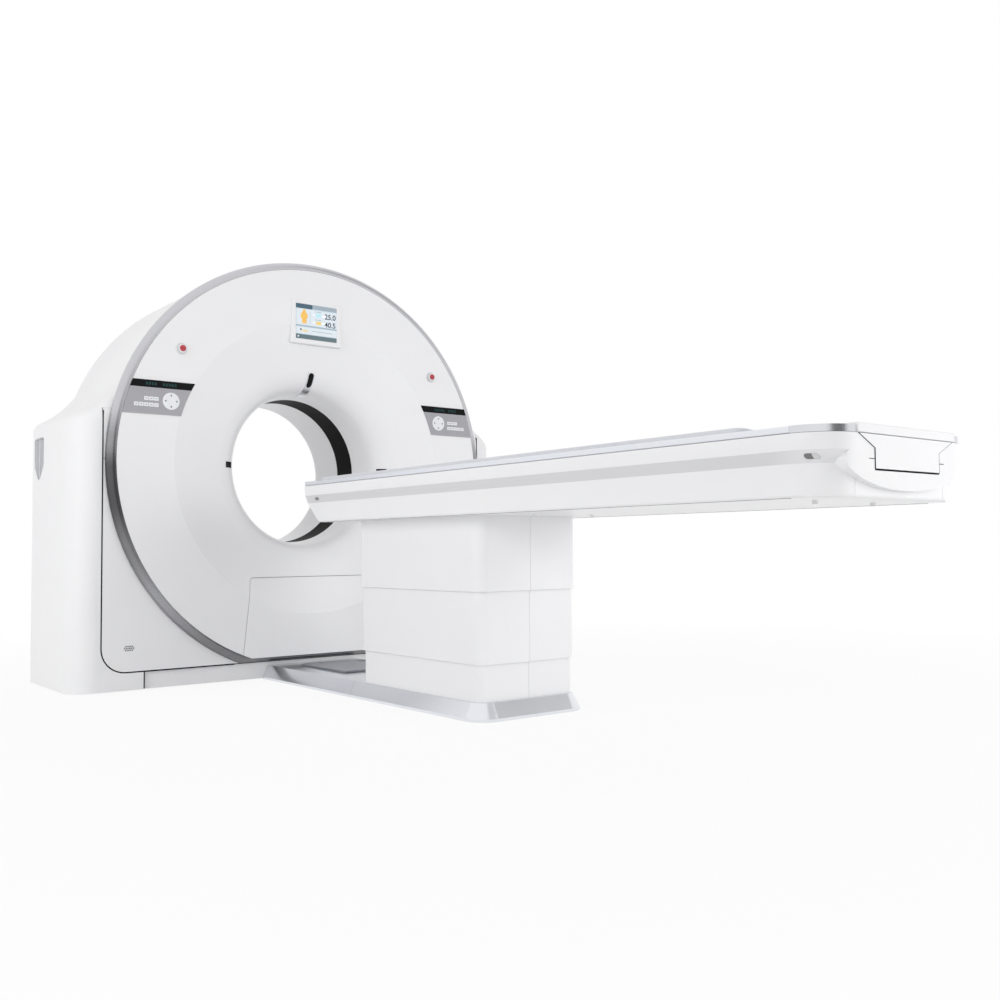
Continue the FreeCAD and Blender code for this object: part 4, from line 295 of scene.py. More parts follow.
def graded(material, axis, low, high, tones, way):
    """Runs a finish's colour through tones, each a share of the way along an axis and a brightness."""
    tree = material.node_tree
    shader = tree.nodes["Principled BSDF"]
    parts = wired(tree, "ShaderNodeSeparateXYZ", {0: tree.nodes.new("ShaderNodeTexCoord").outputs["Object"]})
    ramp = wired(tree, "ShaderNodeValToRGB", {"Fac": spread(tree, parts.outputs[axis], low, high)})
    ramp.color_ramp.interpolation = "EASE"
    while len(ramp.color_ramp.elements) < len(tones):
        ramp.color_ramp.elements.new(0.5)
    for element, (share, level) in zip(ramp.color_ramp.elements, tones):
        element.position = share
        element.color = (level, level, level, 1.0)
    before = shader.inputs["Base Color"].links[0].from_socket
    feed(tree, shader, {"Base Color": tinted(tree, 1.0, before, ramp.outputs["Color"], way)})


# Painted reflection: the ring's colour is darkened and lightened in turn from its foot up, in place of the
# dark and light that it mirrors.
RING_FOOT, RING_HEAD = 0.0, 1.9
RING_PAINTED_REFLECTION = ((0.0, 0.3), (0.07, 0.34), (0.2, 0.6), (0.3, 0.4), (0.41, 0.17), (0.48, 0.19), (0.54, 0.55),
              (0.62, 0.98), (0.8, 1.0))
graded(FINISHES["silver_trim"], "Z", RING_FOOT, RING_HEAD, RING_PAINTED_REFLECTION, "MULTIPLY")
# The rear keys are dark in the half nearer the bore.
KEY_LIGHT_END, KEY_DARK_START = -3.209, -3.207
KEY_TONES = ((0.0, 0.5), (1.0, 0.0))
graded(DETAILS["rear_key"], "Y", KEY_LIGHT_END, KEY_DARK_START, KEY_TONES, "ADD")
# The leaning band's painted shade fades out round the tail's corner.
BAND_LIGHT_END, BAND_DARK_START = -3.27, -3.08
BAND_TONES = ((0.0, 0.16), (1.0, 0.0))
graded(DETAILS["band_painted_shade"], "Y", BAND_LIGHT_END, BAND_DARK_START, BAND_TONES, "ADD")


def dress_nodes():
    """Every CAD node takes the finish of the slot that the record gives it."""
    for name, piece in nodes.items():
        piece.data.materials.clear()
        piece.data.materials.append(FINISHES[SLOTS[name]])


# ---------------------------------------------------------------- making pieces

SAME_PLACE = 1e-6


def as_piece(name, mesh, body, slot, materials=None):
    """A mesh made into a piece that rides on a body and takes a finish."""
    piece = bpy.data.objects.new(name, mesh)
    scene.collection.objects.link(piece)
    if mesh.materials:
        mesh.materials.clear()  # this also puts every face back to the first finish
    for material in materials or [FINISHES[slot]]:
        mesh.materials.append(material)
    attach(piece, body)
    return piece


def mesh_of(name, form, smooth=None):
    """The finished mesh of a bmesh; edges sharper than smooth, in degrees, stay sharp."""
    mesh = bpy.data.meshes.new(name)
    bmesh.ops.recalc_face_normals(form, faces=form.faces)
    form.to_mesh(mesh)
    form.free()
    if smooth:
        mesh.shade_smooth()
        mesh.set_sharp_from_angle(angle=math.radians(smooth))
    return mesh


def evaluated(name, draft):
    """The plain mesh of a draft object once its modifiers have worked; the draft goes."""
    graph = bpy.context.evaluated_depsgraph_get()
    mesh = bpy.data.meshes.new_from_object(draft.evaluated_get(graph))
    mesh.name = name
    bpy.data.objects.remove(draft)
    return mesh


def add_box(form, low, high, material=0):
    """Adds a block between two corners."""
    corners = [form.verts.new((x, y, z)) for x in (low[0], high[0]) for y in (low[1], high[1])
               for z in (low[2], high[2])]
    for face in ((0, 1, 3, 2), (4, 6, 7, 5), (0, 4, 5, 1), (2, 3, 7, 6), (0, 2, 6, 4), (1, 5, 7, 3)):
        form.faces.new([corners[index] for index in face]).material_index = material


def add_plate(form, outline, near, far, material=0):
    """Adds a flat plate in the XZ plane between two depths."""
    front = [form.verts.new((x, near, z)) for x, z in outline]
    back = [form.verts.new((x, far, z)) for x, z in outline]
    form.faces.new(front).material_index = material
    form.faces.new(back[::-1]).material_index = material
    for index in range(len(outline)):
        after = (index + 1) % len(outline)
        form.faces.new((front[index], back[index], back[after], front[after])).material_index = material


def add_turned(form, centre, section, steps=48):
    """Adds a piece turned round a line along Y; the section gives depth and radius, end to end."""
    rings = []
    for depth, radius in section:
        if radius < SAME_PLACE:
            rings.append([form.verts.new((centre[0], depth, centre[1]))])
            continue
        rings.append([form.verts.new((centre[0] + radius * math.cos(math.tau * step / steps), depth,
                                      centre[1] + radius * math.sin(math.tau * step / steps)))
                      for step in range(steps)])
    for first, second in zip(rings, rings[1:]):
        for step in range(steps):
            after = (step + 1) % steps
            corners = []
            for ring, place in ((first, step), (first, after), (second, after), (second, step)):
                corner = ring[place % len(ring)]
                if corner not in corners:
                    corners.append(corner)
            form.faces.new(corners)


def ellipse(centre, half_wide, half_high, steps):
    """Points round an ellipse in the XZ plane."""
    return [(centre[0] + half_wide * math.cos(math.tau * step / steps),
             centre[1] + half_high * math.sin(math.tau * step / steps)) for step in range(steps)]


# ---------------------------------------------------------------- rounded edges

# Nodes whose edges are rounded here: the rounding's width, and the flats across it.
ROUNDED = {
    "side_rails": (0.0045, 4), "tail_lip": (0.004, 4), "tail_cap": (0.0012, 2),
    "tail_inset_panel": (0.0012, 2), "left_side_panel": (0.0012, 2), "right_side_panel": (0.0012, 2),
    "cable_hatch": (0.003, 3), "lower_pedestal_cover": (0.002, 2), "middle_pedestal_cover": (0.002, 2),
    "upper_pedestal_cover": (0.002, 2), "screen_bezel": (0.003, 3), "cradle": (0.003, 3),
    "plinth_cover": (0.0015, 2),
    "left_front_button": (0.0015, 3), "left_rear_button": (0.0015, 3), "right_front_button": (0.0015, 3),
    "right_rear_button": (0.0015, 3)}
MERGE_DISTANCE = 2e-5
FLAT_BEND, SHARP_BEND = math.radians(1.0), math.radians(35.0)
# The leaning band, whose downward-looking faces take a painted shade: its heights, and how far down its faces
# look.
BAND_FOOT, BAND_HEAD = 0.7605, 0.7915
BAND_LEAN = (-0.8, -0.15)


def leaning_band(face):
    """True for a face of the band that leans in under the beam's upper side; such faces take a painted shade.
    """
    return BAND_FOOT < face.center.z < BAND_HEAD and BAND_LEAN[0] < face.normal.z < BAND_LEAN[1]


def merged_copy(name):
    """A CAD node's mesh with its loose triangles joined into flat faces, and smooth between sharp edges."""
    mesh = nodes[name].data.copy()
    given = mesh.attributes.get("custom_normal")
    if given:
        mesh.attributes.remove(given)
    form = bmesh.new()
    form.from_mesh(mesh)
    bmesh.ops.remove_doubles(form, verts=form.verts, dist=MERGE_DISTANCE)
    bmesh.ops.dissolve_limit(form, angle_limit=FLAT_BEND, verts=form.verts, edges=form.edges)
    form.to_mesh(mesh)
    form.free()
    mesh.shade_smooth()
    mesh.set_sharp_from_angle(angle=SHARP_BEND)
    return mesh


def softened(name, width, segments):
    """Stands for a CAD node, with its edges rounded; the faces of a leaning band take the last of its
    finishes, a painted shade.
    """
    draft = bpy.data.objects.new(f"{name}_draft", merged_copy(name))
    scene.collection.objects.link(draft)
    bevel = draft.modifiers.new("rounded_edges", "BEVEL")
    bevel.width = width
    bevel.segments = segments
    bevel.limit_method = "ANGLE"
    bevel.angle_limit = SHARP_BEND
    bevel.harden_normals = True
    mesh = evaluated(name, draft)
    materials = [DETAILS[OWN_FINISH[name]] if name in OWN_FINISH else FINISHES[SLOTS[name]]]
    if name.endswith("side_panel"):
        materials.append(DETAILS["band_painted_shade"])
    piece = as_piece(f"{name}_rounded", mesh, BODIES[name], SLOTS[name], materials)
    for face in mesh.polygons:
        face.material_index = len(materials) - 1 if leaning_band(face) else 0
    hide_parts(name)


# ---------------------------------------------------------------- repeated marks

FACING_Y = (math.pi / 2, 0.0, 0.0)
STUD_SIDES = 16


def set_on_points(tree, start, end, points, form, turn=(0.0, 0.0, 0.0)):
    """Sets a form on each point, makes it real and gives it its finish."""
    placed = wired(tree, "GeometryNodeInstanceOnPoints", {
        "Points": points, "Instance": form, "Rotation": turn})
    real = wired(tree, "GeometryNodeRealizeInstances", {"Geometry": placed.outputs["Instances"]})
    dressed = wired(tree, "GeometryNodeSetMaterial", {
        "Geometry": real.outputs["Geometry"], "Material": start.outputs["Finish"]})
    feed(tree, end, {"Geometry": dressed.outputs["Geometry"]})


def mark_row_tree():
    """A straight row of small raised blocks."""
    tree, start, end = new_tree("mark_row", "GeometryNodeTree", [
        ("Count", "Int", 3), ("Start", "Vector", None), ("Step", "Vector", None),
        ("Mark Size", "Vector", None), ("Finish", "Material", None)], [("Geometry", "Geometry")])
    line = wired(tree, "GeometryNodeMeshLine", {
        "Count": start.outputs["Count"], "Start Location": start.outputs["Start"],
        "Offset": start.outputs["Step"]})
    block = wired(tree, "GeometryNodeMeshCube", {"Size": start.outputs["Mark Size"]})
    set_on_points(tree, start, end, line.outputs["Mesh"], block.outputs["Mesh"])
    return tree


def mark_ring_tree():
    """Small round marks evenly set round a circle that faces along Y."""
    tree, start, end = new_tree("mark_ring", "GeometryNodeTree", [
        ("Count", "Int", 4), ("Centre", "Vector", None), ("Radius", "Float", 0.02),
        ("Mark Radius", "Float", 0.002), ("Height", "Float", 0.0004), ("Finish", "Material", None)],
        [("Geometry", "Geometry")])
    circle = wired(tree, "GeometryNodeMeshCircle", {
        "Vertices": start.outputs["Count"], "Radius": start.outputs["Radius"]})
    ring = wired(tree, "GeometryNodeTransform", {
        "Geometry": circle.outputs["Mesh"], "Translation": start.outputs["Centre"], "Rotation": FACING_Y})
    stud = wired(tree, "GeometryNodeMeshCylinder", {
        "Vertices": STUD_SIDES, "Radius": start.outputs["Mark Radius"], "Depth": start.outputs["Height"]})
    set_on_points(tree, start, end, ring.outputs["Geometry"], stud.outputs["Mesh"], FACING_Y)
    return tree


def grown(name, tree, values, slot):
    """A fixed piece of the gantry that a tree makes from the given values."""
    draft = bpy.data.objects.new(f"{name}_draft", bpy.data.meshes.new(f"{name}_draft"))
    scene.collection.objects.link(draft)
    modifier = draft.modifiers.new("rule", "NODES")
    modifier.node_group = tree
    for item in tree.interface.items_tree:
        if item.in_out == "INPUT" and item.name in values:
            modifier[item.identifier] = values[item.name]
    as_piece(name, evaluated(name, draft), "stand", slot, [values["Finish"]])


MARK_ROW = mark_row_tree()
MARK_RING = mark_ring_tree()


def level_row(name, count, start, step, mark_size, detail, slot):
    """A level row of raised marks, each one step farther across than the last."""
    grown(name, MARK_ROW, {"Count": count, "Start": start, "Step": (step, 0.0, 0.0), "Mark Size": mark_size,
                           "Finish": DETAILS[detail]}, slot)


# ---------------------------------------------------------------- lens cover over the bore

# The front cover's funnel, from the crease in its flat face to the rounded lip of the bore.
AXIS_HEIGHT = 0.953
CREASE_RADIUS = 0.670
LIP_RADIUS = 0.350
FUNNEL_ANGLE = math.radians(11.5)
LIP_ROUND = 0.125

# The lens cover: its heights, its half width, how far its dome rises and how far it sinks into the strip.
LENS_FOOT, LENS_HEAD = 1.332, 1.397
LENS_HALF, LENS_RISE, LENS_SUNK = 0.0138, 0.0022, 0.0003
STRIP_PROUD = 0.002
LENS_STEPS, LENS_SIDES, LENS_ROWS = 16, 12, 6


def funnel_depth(radius, proud):
    """Depth of a layer that stands proud of the funnel, at a radius from the bore's axis."""
    round_centre = LIP_RADIUS + LIP_ROUND
    funnel_deep = (CREASE_RADIUS - LIP_RADIUS) * math.tan(FUNNEL_ANGLE)
    round_depth = FRONT_FACE + funnel_deep + LIP_ROUND * math.tan((math.pi / 2 - FUNNEL_ANGLE) / 2)
    rounding = LIP_ROUND + proud
    if radius > round_centre - rounding * math.sin(FUNNEL_ANGLE):
        return FRONT_FACE + (CREASE_RADIUS - radius) * math.tan(FUNNEL_ANGLE) - proud / math.cos(FUNNEL_ANGLE)
    return round_depth - math.sqrt(max(0.0, rounding ** 2 - (round_centre - radius) ** 2))


def lens_outline(half):
    """Points round the lens cover, drawn in to a half width; its ends' centres stay where they are."""
    top, foot = LENS_HEAD - LENS_HALF, LENS_FOOT + LENS_HALF
    arc = [math.pi * step / LENS_STEPS for step in range(LENS_STEPS + 1)]
    outline = [(half * math.cos(turn), top + half * math.sin(turn)) for turn in arc]
    outline += [(-half, top + (foot - top) * step / LENS_SIDES) for step in range(1, LENS_SIDES)]
    outline += [(-half * math.cos(turn), foot - half * math.sin(turn)) for turn in arc]
    outline += [(half, foot + (top - foot) * step / LENS_SIDES) for step in range(1, LENS_SIDES)]
    return outline


def camera_window():
    """The black lens cover on the chrome strip over the bore, a low dome on a long oval."""
    form = bmesh.new()
    rings = []
    for row in range(LENS_ROWS + 1):
        share = 1.0 - row / LENS_ROWS
        proud = STRIP_PROUD + LENS_RISE * math.sqrt(max(0.0, 1.0 - share ** 2)) - LENS_SUNK
        rings.append([form.verts.new((x, funnel_depth(math.hypot(x, z - AXIS_HEIGHT), proud), z))
                      for x, z in lens_outline(LENS_HALF * share)])
    for first, second in zip(rings, rings[1:]):
        for place in range(len(first)):
            after = (place + 1) % len(first)
            form.faces.new((first[place], first[after], second[after], second[place]))
    bmesh.ops.remove_doubles(form, verts=form.verts, dist=SAME_PLACE)
    bmesh.ops.holes_fill(form, edges=[edge for edge in form.edges if edge.is_boundary])
    as_piece("camera_window", mesh_of("camera_window", form, smooth=50.0), "stand", "black_glass")


# ---------------------------------------------------------------- emergency stops

DOME_RADIUS, DOME_HIGH = 0.0135, 0.0046
# The flange: its shoulder and its underside, measured back from the dome, and the shape of its edges.
SHOULDER_BACK, FLANGE_BACK = 0.0062, 0.011
FLANGE_FALL, FLANGE_EDGE_WIDE, FLANGE_EDGE_DEEP, FLANGE_ROUND = 0.0004, 0.0022, 0.0016, 0.001
STEM_RADIUS = 0.006
COLLAR_RADIUS, COLLAR_BORE, COLLAR_HIGH = 0.025, 0.00605, 0.006
# The collar's rounded edge: how far it has fallen back, and how far it lies in from the collar's radius.
COLLAR_EDGE = ((0.0, 0.005), (0.0006, 0.0025), (0.002, 0.0008), (0.004, 0.0))


def stop_section(face, flange, stem_end):
    """A stop's section from the middle of its dome, over the flange, to the stem's end."""
    shoulder, under = face + SHOULDER_BACK, face + FLANGE_BACK
    dome = [(face + DOME_HIGH * (1.0 - math.cos(turn)), DOME_RADIUS * math.sin(turn))
            for turn in QUARTER_TURN]
    return [*dome, (shoulder, DOME_RADIUS), (shoulder + FLANGE_FALL, flange - FLANGE_EDGE_WIDE),
            (shoulder + FLANGE_EDGE_DEEP, flange), (under - FLANGE_ROUND, flange),
            (under, flange - FLANGE_ROUND), (under, STEM_RADIUS), (stem_end, STEM_RADIUS), (stem_end, 0.0)]


def collar_section():
    """A collar's section, from the front cover's face round to it again."""
    front = FRONT_FACE - COLLAR_HIGH
    edge = [(front + fall, COLLAR_RADIUS - inset) for fall, inset in COLLAR_EDGE]
    return [(FRONT_FACE, COLLAR_BORE), (front, COLLAR_BORE), *edge, (FRONT_FACE, COLLAR_RADIUS),
            (FRONT_FACE, COLLAR_BORE)]


def stop_buttons():
    """Red domes on pale flanges with their stems, and the rounded collars round the stems."""
    collars = bmesh.new()
    for side, _ in SIDES:
        low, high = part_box(f"{side}_stop_button")
        centre = ((low.x + high.x) / 2, (low.z + high.z) / 2)
        form = bmesh.new()
        add_turned(form, centre, stop_section(low.y, (high.x - low.x) / 2, high.y))
        for face in form.faces:
            face.material_index = 0 if face.calc_center_median().y < low.y + SHOULDER_BACK else 1
        name = f"{side}_stop_head"
        piece = as_piece(name, mesh_of(name, form, smooth=40.0), f"{side}_stop", "red_button",
                         [FINISHES["red_button"], DETAILS["pale_flange"]])
        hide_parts(f"{side}_stop_button")
        add_turned(collars, centre, collar_section())
    bmesh.ops.remove_doubles(collars, verts=collars.verts, dist=SAME_PLACE)
    name = "stop_collars_rounded"
    piece = as_piece(name, mesh_of(name, collars, smooth=40.0), "stand", SLOTS["stop_collars"])
    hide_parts("stop_collars")


# ---------------------------------------------------------------- control panels

# The membrane keys: the first one's place, the step outwards, and the sizes of cap and legend.
KEY_START, KEY_STEP = 0.7495, 0.021
KEY_ROWS = ((5, 1.182), (3, 1.208))  # how many keys, and their height
KEY_SIZE, KEY_LEGEND = (0.0186, 0.0004, 0.0158), (0.0085, 0.0003, 0.0022)
LEGEND_PROUD = 0.00025

# The round pad: its place, and its section as depth behind the panel's face and radius.
PAD_PLACE, PAD_HEIGHT = 0.686, 1.203
PAD_SECTION = ((0.0008, 0.0), (0.0008, 0.0362), (0.0001, 0.0362), (-0.0003, 0.0352), (-0.0005, 0.0300),
               (-0.00045, 0.0130), (-0.0001, 0.0118), (-0.0001, 0.0))
PAD_MARKS, PAD_MARK_RING, PAD_MARK_RADIUS, PAD_MARK_HIGH, PAD_MARK_PROUD = 4, 0.0235, 0.0036, 0.0004, 0.00065

# The lit segments of a display strip.
SEGMENT_ROWS = ((5, 0.668), (4, 0.752))  # how many segments, and where they start
SEGMENT_STEP, SEGMENT_HEIGHT, SEGMENT_PROUD = 0.0125, 1.2705, 0.0001
SEGMENT_SIZE = (0.0085, 0.0003, 0.0125)


def panel_marks():
    """Caps and legends on the membrane keys and the round pads, and lit segments in the display strips."""
    for side, sign in SIDES:
        for line, (count, height) in enumerate(KEY_ROWS):
            level_row(f"{side}_key_caps_{line}", count, (sign * KEY_START, PANEL_FACE, height),
                      sign * KEY_STEP, KEY_SIZE, "key_face", "panel_grey")
            level_row(f"{side}_key_legends_{line}", count,
                      (sign * KEY_START, PANEL_FACE - LEGEND_PROUD, height), sign * KEY_STEP, KEY_LEGEND,
                      "legend_ink", "panel_grey")
        disc = bmesh.new()
        add_turned(disc, (sign * PAD_PLACE, PAD_HEIGHT),
                   [(PANEL_FACE + behind, radius) for behind, radius in PAD_SECTION])
        as_piece(f"{side}_pad_face", mesh_of(f"{side}_pad_face", disc, smooth=40.0), "stand", "panel_grey",
                 [DETAILS["key_face"]])
        grown(f"{side}_pad_marks", MARK_RING, {
            "Count": PAD_MARKS, "Centre": (sign * PAD_PLACE, PANEL_FACE - PAD_MARK_PROUD, PAD_HEIGHT),
            "Radius": PAD_MARK_RING, "Mark Radius": PAD_MARK_RADIUS, "Height": PAD_MARK_HIGH,
            "Finish": DETAILS["legend_ink"]}, "panel_grey")
        for line, (count, start) in enumerate(SEGMENT_ROWS):
            level_row(f"{side}_lit_segments_{line}", count,
                      (sign * start, STRIP_FACE - SEGMENT_PROUD, SEGMENT_HEIGHT), sign * SEGMENT_STEP,
                      SEGMENT_SIZE, "lit_segment", "black_glass")


# ---------------------------------------------------------------- painted shadow in the seams, and painted shade in the loudspeaker's holes

# How far the black strips and marks of painted shadow reach back, and how far they stand proud.
SHADOW_MARK_THICK, SHADOW_MARK_PROUD = 0.0012, 0.0002
# The seam round a corner cover: its outer side, its foot and head, its inner end, its corner and its width.
SEAM_SIDE, SEAM_FOOT, SEAM_HEAD, SEAM_END = 0.9568, 0.0743, 1.150, 0.380
SEAM_TURN, SEAM_WIDE = 0.104, 0.0055
# The plinth's seams: at its ends, and along its head.
PLINTH_END, PLINTH_END_FOOT, PLINTH_END_HEAD = (0.7755, 0.7805), 0.006, 0.0752
PLINTH_HALF, PLINTH_SEAM_FOOT, PLINTH_SEAM_HEAD, PLINTH_SEAM_BACK = 0.779, 0.0745, 0.0795, 0.0008
# The beam's seams: along its lower edges, and level in the tail.
BEAM_SEAM, BEAM_SEAM_LOW, BEAM_SEAM_HIGH = (0.2972, 0.3004), (-3.15, 0.6824), (-0.98, 0.6846)
TAIL_SEAM, TAIL_SEAM_FOOT, TAIL_SEAM_HEAD = (0.139, 0.165), 0.7721, 0.7739
# The inset panel in the tail: straight up to a bend, and wider above it.
INSET_HALF, INSET_FOOT, INSET_BEND = 0.141, 0.750, 0.798
INSET_HEAD_HALF, INSET_HEAD = 0.2068, 0.8302
INSET_RIM, INSET_PROUD = 0.0012, 0.0016

# The loudspeaker's holes, covered by black marks of painted shade: their place, step and size.
SPEAKER_PLACE, SPEAKER_HEIGHT = -0.841, 0.175
SPEAKER_STEP, SPEAKER_DOT = 0.009, (0.0052, 0.0003, 0.0052)
SPEAKER_ROWS = ((4, -1.0), (5, 0.0), (4, 1.0))  # how many holes, and rows above the middle


def corner_arc(radius):
    """The seam's corner at a radius, from its outer side down to its foot."""
    return [(SEAM_SIDE - SEAM_TURN + radius * math.cos(turn), SEAM_FOOT + SEAM_TURN - radius * math.sin(turn))
            for turn in QUARTER_TURN]


def add_corner_gap_shadow(form, sign):
    """Adds a black strip of painted shadow in the seam round a corner cover: down its side, round its corner
    and along its foot.
    """
    outline = [(SEAM_SIDE, SEAM_HEAD), *corner_arc(SEAM_TURN), (SEAM_END, SEAM_FOOT),
               (SEAM_END, SEAM_FOOT + SEAM_WIDE), *reversed(corner_arc(SEAM_TURN - SEAM_WIDE)),
               (SEAM_SIDE - SEAM_WIDE, SEAM_HEAD)]
    placed = [(sign * x, z) for x, z in outline]
    if sign > 0:
        placed.reverse()
    add_plate(form, placed, COLUMN_FACE - SHADOW_MARK_PROUD, COLUMN_FACE + SHADOW_MARK_THICK)


def add_side_strip(form, sign, across, low, high):
    """Adds a strip on one side, between two places across and two corners of depth and height."""
    near, far = sorted(sign * place for place in across)
    add_box(form, (near, *low), (far, *high))


def cover_gap_shadows():
    """Black strips of painted shadow in the gantry's open seams: round the corner covers and the plinth."""
    form = bmesh.new()
    for _, sign in SIDES:
        add_corner_gap_shadow(form, sign)
        add_side_strip(form, sign, PLINTH_END, (COLUMN_FACE + SHADOW_MARK_PROUD, PLINTH_END_FOOT),
                       (PLINTH_FACE + SHADOW_MARK_THICK, PLINTH_END_HEAD))
    near = PLINTH_FACE + PLINTH_SEAM_BACK
    add_box(form, (-PLINTH_HALF, near, PLINTH_SEAM_FOOT), (PLINTH_HALF, near + SHADOW_MARK_THICK, PLINTH_SEAM_HEAD))
    as_piece("cover_gap_shadows", mesh_of("cover_gap_shadows", form), "stand", "black_glass", [DETAILS["painted_shadow_black"]])


def beam_gap_shadows():
    """Black strips of painted shadow along the beam's lower edges, in the tail's seams and round its inset
    panel.
    """
    form = bmesh.new()
    for _, sign in SIDES:
        add_side_strip(form, sign, BEAM_SEAM, BEAM_SEAM_LOW, BEAM_SEAM_HIGH)
        add_side_strip(form, sign, TAIL_SEAM, (TAIL_FACE - SHADOW_MARK_PROUD, TAIL_SEAM_FOOT),
                       (TAIL_FACE + SHADOW_MARK_THICK, TAIL_SEAM_HEAD))
    right_rim = [(INSET_HALF + INSET_RIM, INSET_FOOT - INSET_RIM), (INSET_HALF + INSET_RIM, INSET_BEND),
                 (INSET_HEAD_HALF + INSET_RIM, INSET_HEAD)]
    rim = right_rim + [(-x, z) for x, z in reversed(right_rim)]
    add_plate(form, rim, TAIL_FACE - INSET_PROUD, TAIL_FACE + SHADOW_MARK_THICK)
    as_piece("beam_gap_shadows", mesh_of("beam_gap_shadows", form), "table_top", "black_glass", [DETAILS["painted_shadow_black"]])


def speaker_dots():
    """Black marks of painted shade over the loudspeaker's holes in the left corner cover, in three staggered
    rows.
    """
    row_rise = SPEAKER_STEP * math.sin(math.radians(60.0))
    for line, (count, row) in enumerate(SPEAKER_ROWS):
        start = (SPEAKER_PLACE - SPEAKER_STEP * (count - 1) / 2, COLUMN_FACE - SHADOW_MARK_PROUD,
                 SPEAKER_HEIGHT + row * row_rise)
        level_row(f"speaker_dots_{line}", count, start, SPEAKER_STEP, SPEAKER_DOT, "painted_shadow_black",
                  "black_glass")


# ---------------------------------------------------------------- screen

SCREEN_LOW, SCREEN_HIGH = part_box("screen")
SCREEN_WIDE, SCREEN_TALL = SCREEN_HIGH.x - SCREEN_LOW.x, SCREEN_HIGH.z - SCREEN_LOW.z
SCREEN_LAYER = 0.00025
TONE_NUMBER = {label: number for number, label in enumerate(SCREEN_TONES)}
READING_SIZE, READING_THICK, READING_BOLD = 0.034, 0.0001, 0.0006
READING_END, READING_LAYER = 0.975, 2
READINGS = (("25.0", 0.355), ("40.5", 0.585))  # the figures, and how far down they stand


def on_screen(across, down):
    """A place on the screen, from shares of its width and of its height."""
    return SCREEN_LOW.x + across * SCREEN_WIDE, SCREEN_HIGH.z - down * SCREEN_TALL


def add_pane(form, label, across, down, layer):
    """Adds a pane between shares of the screen's width and height, some layers in front of the glass."""
    left, top = on_screen(across[0], down[0])
    right, foot = on_screen(across[1], down[1])
    add_box(form, (left, SCREEN_LOW.y - SCREEN_LAYER * layer, foot),
            (right, SCREEN_LOW.y + SCREEN_LAYER, top), TONE_NUMBER[label])


def add_blob(form, label, across, down, half_wide, half_high, layer, steps=20):
    """Adds a round shape, placed and sized in shares of the screen's width and height."""
    outline = ellipse(on_screen(across, down), half_wide * SCREEN_WIDE, half_high * SCREEN_TALL, steps)
    add_plate(form, outline, SCREEN_LOW.y - SCREEN_LAYER * layer, SCREEN_LOW.y, TONE_NUMBER[label])


def screen_panes():
    """What the screen shows: plain panes, a simple figure, and bars in place of words."""
    form = bmesh.new()
    # The page's main areas.
    add_pane(form, "header", (0.0, 0.40), (0.0, 0.13), 1)
    add_pane(form, "bar", (0.40, 1.0), (0.0, 0.12), 1)
    add_pane(form, "pane", (0.02, 0.98), (0.15, 0.60), 1)
    add_pane(form, "bar", (0.0, 1.0), (0.61, 0.645), 1)
    add_pane(form, "pane", (0.02, 0.98), (0.665, 0.85), 1)
    add_pane(form, "footer", (0.0, 1.0), (0.87, 1.0), 1)
    add_pane(form, "bar", (0.34, 0.345), (0.17, 0.58), 2)
    # The figure: head, trunk and two legs.
    add_blob(form, "figure", 0.20, 0.20, 0.035, 0.05, 2)
    add_blob(form, "figure", 0.20, 0.34, 0.085, 0.12, 3)
    for leg in (0.175, 0.230):
        add_blob(form, "figure", leg, 0.48, 0.030, 0.09, 2)
    # The fields beside the readings.
    add_pane(form, "cool", (0.49, 0.61), (0.22, 0.34), 2)
    add_pane(form, "warm", (0.49, 0.61), (0.46, 0.54), 2)
    for down in ((0.25, 0.32), (0.46, 0.53)):
        add_pane(form, "light", (0.64, 0.73), down, 2)
    for down in (0.28, 0.50):
        add_blob(form, "light", 0.43, down, 0.022, 0.030, 2, steps=14)
    for down in ((0.175, 0.19), (0.405, 0.42)):
        add_pane(form, "bar", (0.46, 0.62), down, 2)
    # The lower pane and the footer's mark.
    add_blob(form, "figures_ink", 0.12, 0.735, 0.022, 0.026, 2, steps=14)
    add_blob(form, "warm", 0.22, 0.765, 0.085, 0.020, 2)
    add_pane(form, "bar", (0.38, 0.90), (0.745, 0.76), 2)
    add_blob(form, "light", 0.06, 0.935, 0.018, 0.024, 2, steps=10)
    as_piece("screen_panes", mesh_of("screen_panes", form), "stand", "screen_glass",
             list(SCREEN_TONES.values()))


def screen_readings():
    """Two plain numbers on the screen, right-aligned."""
    for index, (reading, down) in enumerate(READINGS):
        words = bpy.data.curves.new(f"reading_{index}", "FONT")
        words.body = reading
        words.size = READING_SIZE
        words.align_x = "RIGHT"
        words.extrude = READING_THICK
        words.offset = READING_BOLD
        draft = bpy.data.objects.new(f"reading_{index}_draft", words)
        scene.collection.objects.link(draft)
        mesh = evaluated(f"reading_{index}", draft)
        right, foot = on_screen(READING_END, down)
        place = Matrix.Translation((right, SCREEN_LOW.y - SCREEN_LAYER * READING_LAYER, foot))
        mesh.transform(place @ Matrix.Rotation(math.pi / 2, 4, "X"))
        as_piece(f"reading_{index}", mesh, "stand", "screen_glass", [SCREEN_TONES["figures_ink"]])


# ---------------------------------------------------------------- studio

WHITE = (1.0, 1.0, 1.0, 1.0)
LIT_LEVEL = 0.57
FLOOR_TONE = (0.92, 0.92, 0.92, 1.0)
FLOOR_REACH, FLOOR_DROP = 30.0, -0.0005
FADE_CENTRE, FADE_NEAR, FADE_FAR, FADE_START = (0.0, -1.2, 0.0), 1.6, 4.4, 0.88

